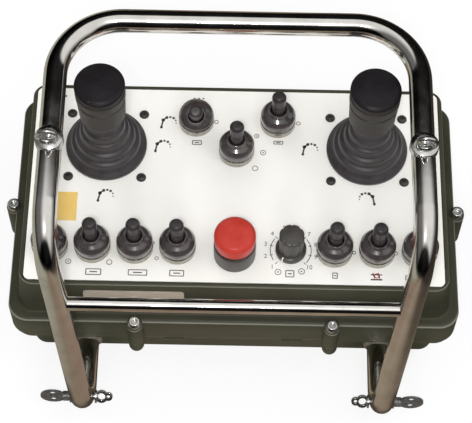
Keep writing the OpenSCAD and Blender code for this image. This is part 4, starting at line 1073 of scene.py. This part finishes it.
# A soft surround and a warm sheet on the floor that only mirrors see: painted reflections that give chrome
# its streaks, as a photographer's cards do
surround = [level_sheet(ROOM_H)]
for x0, y0, x1, y1 in ((-1, 1, 1, 1), (-1, -1, 1, -1), (-1, -1, -1, 1), (1, -1, 1, 1)):
    surround.append(wall(x0 * ROOM_HALF, y0 * ROOM_HALF, x1 * ROOM_HALF, y1 * ROOM_HALF))
set_piece("surround", surround, soft_surround("soft_surround"), True)
warm_tints = [
    (-0.4, "#b4b3a6"), (-0.26, "#a8a596"), (-0.15, "#968877"), (-0.04, "#9b8576"), (0.06, "#a69886"),
    (0.15, "#968877"), (0.23, "#665c50"), (0.4, "#3c3631"),
]
set_piece("warm_sheet", [level_sheet(WARM_SHEET_Z)], warm_floor_reflection("warm_sheet", warm_tints), True)

# Even white round the set, dimmer where it only lights the object
world = bpy.data.worlds.new("studio")
bpy.context.scene.world = world
world.use_nodes = True
tree = world.node_tree
tree.nodes.clear()
rays = add(tree, "ShaderNodeLightPath")
either = add(tree, "ShaderNodeMath", {0: rays.outputs["Is Camera Ray"], 1: rays.outputs["Is Glossy Ray"]},
             {"operation": "MAXIMUM"})
seen = add(tree, "ShaderNodeMath", {0: either.outputs[0], 1: rays.outputs["Is Transmission Ray"]},
           {"operation": "MAXIMUM"})
soft = add(tree, "ShaderNodeBackground", Color=colour("#ffffff"), Strength=0.64)
white = add(tree, "ShaderNodeBackground", Color=colour("#ffffff"), Strength=1.0)
mixed = add(tree, "ShaderNodeMixShader", {0: seen.outputs[0], 1: soft.outputs[0], 2: white.outputs[0]})
add(tree, "ShaderNodeOutputWorld", {"Surface": mixed.outputs[0]})


def lamp(name, place, target, size, power, mirrored=False):
    """Square soft light; only a mirrored one shows as a bright spot in chrome and gloss."""
    data = bpy.data.lights.new(name, "AREA")
    data.energy = power
    data.size = size
    obj = linked(name, data)
    obj.visible_glossy = mirrored
    obj.location = place
    obj.rotation_euler = (Vector(target) - Vector(place)).to_track_quat("-Z", "Y").to_euler()


lamp("key", (-0.05, -0.85, 1.62), (0, 0, 0.1), 0.14, 9, True)
lamp("front", (0.2, -2.0, 0.9), (0, 0, 0.1), 0.9, 12)
lamp("fill", (0.9, -0.3, 1.7), (0, 0, 0.1), 0.9, 5)
lamp("back", (-0.6, 1.2, 1.5), (0, 0, 0.15), 1.0, 5)

# Camera, found from the photograph: place in millimetres, tilt from straight down and roll in degrees

FOCAL_PIXELS = 1662.0
PHOTO_W_PIXELS = 472.0
SENSOR_W = 36.0
CAMERA_AT = (0.5, -706.86, 1437.99)
CAMERA_TILT = 27.5
CAMERA_ROLL = 1.08
camera_data = bpy.data.cameras.new("camera")
camera_data.lens = FOCAL_PIXELS / PHOTO_W_PIXELS * SENSOR_W
camera_data.sensor_width = SENSOR_W
camera_data.clip_start = 0.05
camera_data.clip_end = 50
camera = linked("camera", camera_data)
camera.matrix_world = (
    Matrix.Translation(Vector(CAMERA_AT) * MM)
    @ Matrix.Rotation(math.radians(CAMERA_TILT), 4, "X")
    @ Matrix.Rotation(math.radians(CAMERA_ROLL), 4, "Z")
)
bpy.context.scene.camera = camera
bpy.context.scene.view_settings.view_transform = "Standard"
